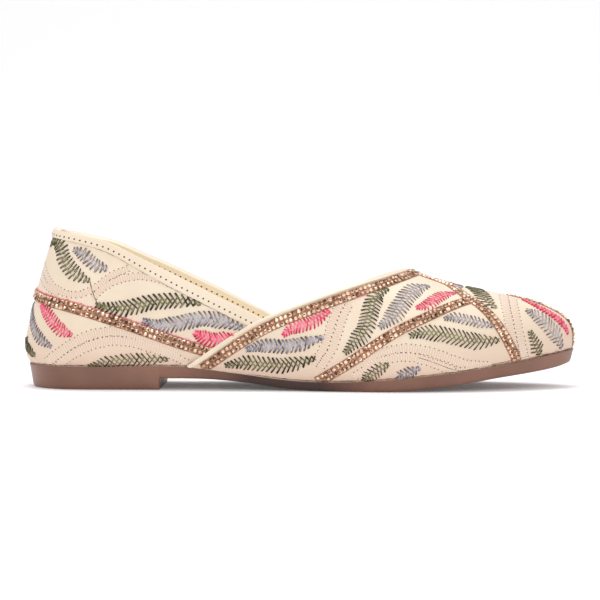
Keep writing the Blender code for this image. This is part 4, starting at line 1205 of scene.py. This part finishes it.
# %% Spines of the feathers
FEATHERS = (
    {"thread": "green", "pitch": 1.9, "barb": 3.7, "lag": 0.15, "stout": 0.95, "start_taper": 0.3,
     "spine": ((51, 246.5), (52.5, 242), (56, 240.2), (60.5, 246.4), (63.6, 258), (68, 266), (74, 273),
               (82.7, 278.2), (89.3, 280.8))},
    {"thread": "grey", "pitch": 1.8, "barb": 3.1, "lag": 0.2,
     "spine": ((73.5, 249.5), (80, 252), (85, 256), (90, 261), (96, 265.5), (102, 267.5), (109, 269))},
    {"thread": "green", "pitch": 2.25, "barb": 3.5, "lag": 0.85, "stout": 2.0,
     "spine": ((97, 305.5), (120.6, 309), (147, 303.3), (172, 300.7), (201, 303.5))},
    {"thread": "grey", "pitch": 1.9, "barb": 3.4, "lag": 0.85, "stout": 2.1,
     "spine": ((144, 321), (161, 325.7), (182, 322.7), (202, 319), (223, 321.6), (245, 329.3))},
    {"thread": "pink", "pitch": 1.6, "barb": 3.2, "lag": 0.6, "stout": 1.5,
     "spine": ((195, 333), (203, 337.5), (213, 340), (223, 339), (236, 336))},
    {"thread": "pink", "pitch": 1.5, "barb": 3.2, "lag": 0.3, "stout": 0.9,
     "spine": ((41, 304.5), (47.6, 313.7), (53.3, 322.4), (60.2, 329.8), (72, 335.5))},
    {"thread": "grey", "pitch": 1.7, "barb": 3.0, "lag": 0.3, "stout": 0.9,
     "spine": ((33.2, 302.2), (32, 317.2), (34.4, 328.7), (39.5, 337.9), (51.5, 347))},
    {"thread": "green", "pitch": 1.6, "barb": 2.8, "lag": 0.3,
     "spine": ((24.6, 336.7), (27.5, 347), (36, 356.5))},
    {"thread": "green", "pitch": 2.25, "barb": 3.2, "lag": 0.95, "stout": 1.25,
     "spine": ((90, 366), (112, 362), (136, 360), (168, 359.5))},
    {"thread": "pink", "pitch": 1.6, "barb": 2.9, "lag": 0.5, "stout": 1.2,
     "spine": ((283.5, 335.5), (291.7, 328.5), (302, 325.8), (312.7, 322.3), (330, 310))},
    {"thread": "grey", "pitch": 1.85, "barb": 3.0, "lag": 0.7, "stout": 2.1,
     "spine": ((246.8, 349.8), (260, 346), (274, 346.2), (288, 346.5), (302, 344), (323.5, 337))},
    {"thread": "green", "pitch": 2.15, "barb": 3.4, "lag": 0.8, "stout": 1.6,
     "spine": ((226.4, 365.3), (242.5, 362.8), (260, 363.8), (277.6, 365.8), (294, 364), (316, 358))},
    {"thread": "green", "pitch": 1.75, "barb": 4.0, "lag": 0.45,
     "spine": ((345, 353), (356, 341.2), (364.2, 331), (368, 320.8), (371.2, 308), (376.4, 296),
               (388, 288.5))},
    {"thread": "grey", "pitch": 1.8, "barb": 4.4, "lag": 0.4, "stout": 0.9,
     "spine": ((380, 327.3), (391, 318.3), (397.4, 310.6), (403.8, 300.4), (413.3, 290.2), (429, 285.7))},
    {"thread": "pink", "pitch": 1.6, "barb": 3.1, "lag": 0.5, "stout": 0.8,
     "spine": ((416.5, 308), (428.4, 304.8), (435, 299.4), (445, 294.7), (455, 293))},
    {"thread": "grey", "pitch": 1.75, "barb": 2.8, "lag": 0.6,
     "spine": ((444.5, 318.8), (455.2, 317.5), (465.3, 319.5), (475.3, 321.5), (493, 326.5))},
    {"thread": "green", "pitch": 2.05, "barb": 3.8, "lag": 0.9, "stout": 1.15,
     "spine": ((411, 335.6), (421.7, 333), (435, 333), (452, 336.3), (465.3, 339.6),
               (478.7, 341.6), (501, 340))},
    {"thread": "green", "pitch": 1.75, "barb": 3.2, "lag": 0.5,
     "spine": ((364, 381), (376, 371), (388.5, 364))},
    {"thread": "grey", "pitch": 1.7, "barb": 3.0, "lag": 0.5, "stout": 1.5,
     "spine": ((395, 379.5), (407, 374), (420, 368))},
    {"thread": "grey", "pitch": 1.75, "barb": 3.6, "lag": 0.5,
     "spine": ((444, 281), (452, 283.5), (461, 288))},
    {"thread": "green", "pitch": 2.0, "barb": 4.2, "lag": 0.5, "stout": 0.75,
     "spine": ((468, 286), (478.7, 291.5), (486, 300), (496.5, 309))},
    {"thread": "pink", "pitch": 1.5, "barb": 2.5, "lag": 0.4, "stout": 1.35,
     "spine": ((522.8, 300), (536, 305.8), (547.5, 312), (557, 318.3), (564.3, 325.8), (568, 334))},
    {"thread": "grey", "pitch": 1.8, "barb": 4.2, "lag": 0.5, "stout": 0.9,
     "spine": ((526.8, 310.3), (538.9, 317.2), (547.5, 325.2), (556, 335), (562, 348))},
    {"thread": "green", "pitch": 1.75, "barb": 4.0, "lag": 0.45, "stout": 0.85, "start_taper": 0.9,
     "spine": ((530, 331.6), (534.8, 342.5), (540, 355))},
)
print(len(FEATHERS), "feathers on each side")

# %% [markdown]
# A barb is one stitch, worked twice: the needle comes up at the spine and goes down at the tip. One strand
# starts on the spine and the other beyond it, so that the strands of both sides plait there, and their tips
# lie side by side. They could be drawn one by one, but a walk along the spine places them all, with barbs
# that shorten and crowd towards its ends.

# %% Strands of a feather
ROOT_SPREAD, ROOT_JITTER, ROOT_CROSSINGS, LEAST_CROSSING = 0.25, 0.08, {-1: 0.0, 1: 1.6}, 0.2
CROSSING_SPREAD, REACH_SPREAD, TIP_SPREAD, FIRST_BARB = (0.8, 1.2), (0.92, 1.08), 0.17, 0.4
START_TAPER, END_TAPER, LEAST_START, LEAST_END = 0.28, 0.2, 0.3, 0.32
END_CROWDING, CROWDED_LENGTH = 0.7, 4.0
STRAND = {
    "share": (0, 0.2, 0.5, 0.8, 1),
    "radius": (0.6, 1, 1, 1, 0.8),
    "tone": (0.3, 0.35, 0.15, -0.2, -0.4),
}


def strands_of(line, pitch, barb, lag, start_taper=START_TAPER):
    """Every strand of a feather, from its spine to a barb's tip, as rows of five points."""
    along, _, across = frames_along(line)
    lengths = lengths_along(line)
    whole, last = lengths[-1], len(line) - 1
    paths = []
    place = FIRST_BARB
    while place < whole:
        at_start = LEAST_START + (1 - LEAST_START) * place / (start_taper * whole)
        at_end = LEAST_END + (1 - LEAST_END) * (whole - place) / (END_TAPER * whole)
        reach = barb * min(1.0, at_start, at_end)
        for side in SIDES:
            for strand, root_crossing in ROOT_CROSSINGS.items():
                root_at = place + strand * ROOT_SPREAD * pitch + rng.normal(0, ROOT_JITTER)
                tip_at = place - lag * reach + strand * TIP_SPREAD
                k, m = (min(np.searchsorted(lengths, at), last) for at in (root_at, tip_at))
                crossing = root_crossing * min(reach / barb + LEAST_CROSSING, 1)
                crossing *= rng.uniform(*CROSSING_SPREAD)
                root = line[k] - across[k] * side * crossing
                tip = line[m] + across[m] * side * reach * rng.uniform(*REACH_SPREAD)
                tip = tip + along[m] * min(tip_at - lengths[m], 0)
                paths.append(root + (tip - root) * np.array(STRAND["share"])[:, None])
        nearest_end = min(place, whole - place) / CROWDED_LENGTH
        place += pitch * min(END_CROWDING + (1 - END_CROWDING) * nearest_end, 1.0)
    return np.array(paths)


print("barbs taper over", START_TAPER, "of a spine at its start and", END_TAPER, "at its end")

# %% [markdown]
# Hair particles or curves could draw the strands, but thick thread has a round body that catches light, so
# each strand is a short tube that rises off the leather and sinks back into it at both ends. All tubes of a
# colour are worked out at once, as arrays.

# %% Tubes of thread
STRAND_SIDES, STRAND_RISE, RISE_SHARES, RISE_SPREAD = 5, 0.3, (0.06, 0.94), (0.8, 1.2)
STRAND_TONE = (0.45, 0.24)


def tubes(paths, radii):
    """Tubes round rows of points on the leather, rising in the middle, with one radius for each row."""
    count, steps = paths.shape[:2]
    base, normals = (part.reshape(paths.shape) for part in seat(paths.reshape(-1, 3)))
    lift = STRAND_RISE * np.sin(np.pi * np.linspace(*RISE_SHARES, steps))
    middle = base + normals * (lift * rng.uniform(*RISE_SPREAD, (count, 1)))[..., None]
    along = unit(np.gradient(middle, axis=1))
    across = unit(np.cross(normals, along))
    up = np.cross(along, across)
    turns = np.linspace(0, 2 * math.pi, STRAND_SIDES, endpoint=False)
    ring = np.cos(turns)[:, None] * across[:, :, None] + np.sin(turns)[:, None] * up[:, :, None]
    points = middle[:, :, None] + ring * (radii[:, None] * np.array(STRAND["radius"]))[..., None, None]
    one = grid_faces(steps, STRAND_SIDES, close_columns=True)
    faces = one[None] + (np.arange(count) * steps * STRAND_SIDES)[:, None, None]
    return points.reshape(-1, 3), faces.reshape(-1, 4)


def strand_tones(count):
    """One tone for each point: its strand's own, with painted light near the spine and painted shade at the
    tip.
    """
    tones = np.clip(rng.normal(*STRAND_TONE, (count, 1)) + np.array(STRAND["tone"]), 0, 1)
    return np.repeat(tones.reshape(-1), STRAND_SIDES)


print("a strand has", len(STRAND["share"]), "rings of", STRAND_SIDES, "points")

# %% [markdown]
# The thread is soft and has a little sheen. It is green, blue-grey or pink, each from a dark to a pale
# shade, because light falls unevenly on the strands. A twist could be modelled in every strand, but at this
# size a fine bump shows the same.

# %% Feathers in three threads
SPINE_STEP, STRAND_RADIUS = 0.25, {"green": 0.19, "grey": 0.18, "pink": 0.22}


def thread(name, dark, middle, pale):
    material = new_finish(name, Roughness=0.6, Sheen_Weight=0.1, Specular_IOR_Level=0.25)
    colour(material, tone(material), [(0.08, dark), (0.45, middle), (0.9, pale)])
    bump(material, noise(material, 0.22, 1), depth=0.08, strength=0.7)
    return material


THREADS = {
    "green": thread("green_thread", chart(36, 28, 14), chart(74, 67, 40), chart(140, 136, 98)),
    "grey": thread("grey_thread", chart(82, 74, 79), chart(130, 123, 131), chart(194, 188, 196)),
    "pink": thread("pink_thread", chart(190, 26, 70), chart(232, 60, 102), chart(250, 146, 170)),
}
for hue, material in THREADS.items():
    paths, radii = [], []
    for feather in (row for row in FEATHERS if row["thread"] == hue):
        shape = {key: feather[key] for key in ("pitch", "barb", "lag", "start_taper") if key in feather}
        for spine in lines_on_both(feather["spine"], SPINE_STEP):
            paths.append(strands_of(spine, **shape))
            radii += [STRAND_RADIUS[hue] * feather.get("stout", 1.0)] * len(paths[-1])
    paths = np.vstack(paths)
    points, faces = tubes(paths, np.array(radii))
    make_piece(hue + "_feathers", points, faces, material, "upper_leather", strand_tones(len(paths)))

# %% [markdown]
# Between the feathers run bands of satin stitch in the leather's own colour, only a little pinker: fine
# threads laid side by side across the band, with a line of needle holes along each edge. A bump would show
# the threads, but the bands stand off the leather and catch the light, so each is a low strip whose surface
# rises and falls with them. The table gives each band's width in millimetres and its middle line by pixels
# of the photograph.

# %% Satin bands
SATIN_BANDS = (
    {"width": 2.9, "path": ((44, 263), (45.3, 270.9), (50.6, 283.2), (62.9, 292.4), (75.1, 294.7),
                            (85.9, 292.4), (96.6, 286.3), (111.9, 275.5), (128, 268.5))},
    {"width": 3.0, "path": ((40.5, 270), (43.5, 281), (50, 289), (58, 294))},
    {"width": 3.2, "path": ((93, 298.5), (104, 287), (122, 279), (140, 276.5), (160, 279.5), (182, 289))},
    {"width": 4.2, "path": ((47, 362.5), (62, 350.5), (80, 339.5), (100, 332.5), (120, 332), (140, 337),
                            (160, 344.5), (180, 353))},
    {"width": 4.0, "path": ((58, 365.5), (74, 353.5), (92, 345), (112, 341), (130, 342),
                            (150, 347.5), (171, 355))},
    {"width": 3.4, "path": ((160, 350.5), (174, 356.5), (187, 363))},
    {"width": 3.7, "path": ((340, 305), (332, 321), (328.5, 335), (323.5, 348), (313, 364))},
    {"width": 3.7, "path": ((349, 304), (341.5, 321), (337.5, 335), (332.5, 349), (320, 368))},
    {"width": 3.8, "path": ((363, 366), (377, 355), (393, 350), (410, 348.5), (428, 351.5), (446, 357.5),
                            (466, 364), (490, 366))},
    {"width": 3.8, "path": ((354, 377), (366, 370), (379, 362), (395, 357.5), (410, 357), (425, 360.5),
                            (441, 366), (458, 373))},
    {"width": 4.2, "path": ((503.5, 295), (506, 308), (509.5, 325), (513.5, 344), (516.5, 361))},
    {"width": 4.0, "path": ((512.5, 298), (515, 310), (518, 326), (521.5, 343), (524.5, 359))},
)
SATIN_PITCH, SATIN_RISE, SATIN_STEP, SATIN_SUNK, SATIN_ROUND, SATIN_ROWS = 1.1, 0.2, 0.2, 0.03, 2.5, 9
PITCH_DRIFT, DRIFT_TURN, THREAD_DIP, PAINTED_GROOVE_SHADE, BAND_HOLE_JITTER = 0.5, 0.7, 0.55, (0.18, 0.58), 0.1
BAND_HOLES = slice(5, None, 10)


def satin():
    material = new_finish("satin_thread", Roughness=0.4, Sheen_Weight=0.3)
    colour(material, tone(material), [(0.0, chart(200, 174, 154)), (0.75, chart(225, 203, 182))])
    bump(material, noise(material, 0.3, 1), depth=0.05, strength=0.6)
    return material


points, faces, tones, hole_places = [], [], [], []
first = 0
for band in SATIN_BANDS:
    for line in lines_on_both(band["path"], SATIN_STEP):
        place = np.arange(len(line)) * SATIN_STEP
        band_across = frames_along(line)[2]
        drift = PITCH_DRIFT * np.sin(place * DRIFT_TURN)
        threads = 0.5 + 0.5 * np.cos(2 * math.pi * place / SATIN_PITCH + drift)
        for share in np.linspace(-1, 1, SATIN_ROWS):
            at_edge = abs(share) == 1
            crown = (1 - abs(share) ** SATIN_ROUND) * SATIN_RISE
            lift = crown * (1 - THREAD_DIP + THREAD_DIP * threads) - SATIN_SUNK * at_edge
            base, normals = seat(line + band_across * (share * band["width"] / 2))
            points.append(base + normals * lift[:, None])
            # Painted shade in the grooves between threads, lighter on their crowns.
            tones.append(PAINTED_GROOVE_SHADE[0] + PAINTED_GROOVE_SHADE[1] * threads)
            if at_edge:
                holes = base[BAND_HOLES]
                hole_places.append(holes + rng.normal(0, BAND_HOLE_JITTER, holes.shape))
        faces.append(grid_faces(SATIN_ROWS, len(line), first=first))
        first += SATIN_ROWS * len(line)
points, faces, tones = np.vstack(points), np.vstack(faces), np.concatenate(tones)
make_piece("satin_bands", points, faces, satin(), "upper_leather", tones)

# %% [markdown]
# The holes along the bands are the same small dishes as on the binding, a little finer. Their places were
# kept while the bands were made, one every two millimetres, and jittered by a hand's tenth of a millimetre.

# %% Holes beside the bands
BAND_HOLE_LIFT, BAND_HOLE_RADIUS, BAND_HOLE_SIDES = 0.04, 0.27, 6
# The same dark dishes, their brown a painted shade for each hole.
holes = dishes(*seat(np.vstack(hole_places), BAND_HOLE_LIFT), BAND_HOLE_RADIUS, BAND_HOLE_SIDES)
make_piece("band_holes", *holes, HOLE_SHADE, "upper_leather")

# %% [markdown]
# A few single threads finish the work: pink lines that couch the upper edge of the heel tape and a little
# of the throat tape's lower edge, a dark thread carried from one feather to the next, and a line of
# stitching low on the vamp. The same kind of tube draws two more lines: the brown line of cement where the
# leather turns under onto the sole, and a painted shadow along the foot of the binding, where its edge
# stands off the leather. Each is one long thin tube along a line on the leather.

# %% Single threads
TUBE_SIDES, TUBE_JITTER, THREAD_STEP, EDGE_SHADOW_STEP, FOOT_STEP = 6, 0.05, 0.6, 0.8, 1.0
COUCHED_ASIDE, COUCHED_WAVE, COUCHED_TURN, COUCHED_JITTER, COUCHED_TONE = 2.75, 0.12, 0.9, 0.08, (0.85, 0.4)
FOOT_GIRTH, FOOT_LIFT, HEEL_POINTS, FOOT_POINTS, EDGE_SHADOW_BELOW = 0.995, 0.05, 50, 230, 0.1
COUCHED_RADIUS, CARRIED_RADIUS, CEMENT_RADIUS, EDGE_SHADOW_RADIUS, STITCH_RADIUS = 0.17, 0.16, 0.22, 0.12, 0.14
CEMENT_BROWN = [(0.4, chart(92, 62, 46)), (0.6, chart(176, 138, 112))]
EDGE_SHADOW_BROWN = [(0.4, chart(132, 102, 82)), (0.6, chart(216, 192, 170))]
THROAT_COUCHED = ((350, 300.3), (358, 297.6), (367, 294.4))
CARRIED = ((90, 281), (91.5, 288), (94, 296), (98, 304.5))
LOW_LINE = ((418, 357.5), (428, 360.5), (440, 365), (452, 369), (462, 370.5), (478, 367.5), (495, 364),
            (511, 360.5), (527, 356.5))


def long_thread(name, lines, radius, material, lift=0.1, tone_spread=(0.4, 0.0)):
    """One mesh of tubes, each along a line on the leather, with a little of a hand's unevenness."""
    turns = np.linspace(0, 2 * math.pi, TUBE_SIDES, endpoint=False)
    points, faces, first = [], [], 0
    for line in lines:
        _, out, across = frames_along(line)
        line = line + out * lift + across * rng.normal(0, TUBE_JITTER, (len(line), 1))
        ring = np.cos(turns)[:, None] * across[:, None] + np.sin(turns)[:, None] * out[:, None]
        points.append((line[:, None] + ring * radius).reshape(-1, 3))
        faces.append(grid_faces(len(line), TUBE_SIDES, first=first, close_columns=True))
        first += len(line) * TUBE_SIDES
    tones = np.repeat(rng.normal(*tone_spread, first // TUBE_SIDES), TUBE_SIDES)
    make_piece(name, np.vstack(points), np.vstack(faces), material, "upper_leather", tones)


heel = TAPES["heel_trim"]
heel_across = frames_along(heel)[2]
upward = heel_across * np.sign(heel_across[:, 2])[:, None]
wander = COUCHED_WAVE * np.sin(np.arange(len(heel)) * COUCHED_TURN)
wander += COUCHED_JITTER * rng.standard_normal(len(heel))
heel_couched = spaced(seat(heel + upward * (COUCHED_ASIDE + wander)[:, None])[0], THREAD_STEP)
couched = [heel_couched] + lines_on_both(THROAT_COUCHED, THREAD_STEP)
long_thread("pink_line", couched, COUCHED_RADIUS, THREADS["pink"], tone_spread=COUCHED_TONE)
long_thread("carried_thread", lines_on_both(CARRIED, THREAD_STEP), CARRIED_RADIUS, THREADS["green"])

CEMENT = mottled("sole_cement", roughness=0.7, size=3.0, stops=CEMENT_BROWN)
EDGE_SHADOW_FINISH = mottled("binding_edge_shadow", roughness=0.7, size=4.0, stops=EDGE_SHADOW_BROWN)
foot_runs = np.append(np.linspace(RUN_BACK, 0, HEEL_POINTS), np.linspace(0, RUN_TIP, FOOT_POINTS)[1:])
outer, inner = (on_last(foot_runs, side * FOOT_GIRTH, pucker(foot_runs, side) + FOOT_LIFT) for side in SIDES)
foot_line = spaced(np.vstack([outer[::-1], inner[1:]]), FOOT_STEP)
long_thread("sole_seam", [foot_line], CEMENT_RADIUS, CEMENT, lift=0.0)
# A thin brown tube along the binding's foot: painted shadow under its edge.
binding_foot = spaced(below_edge(BINDING_DOWN, 0.0, wave + EDGE_SHADOW_BELOW), EDGE_SHADOW_STEP)
long_thread("binding_edge_shadow", [binding_foot], EDGE_SHADOW_RADIUS, EDGE_SHADOW_FINISH)
long_thread("low_stitching", lines_on_both(LOW_LINE, THREAD_STEP), STITCH_RADIUS, CEMENT)
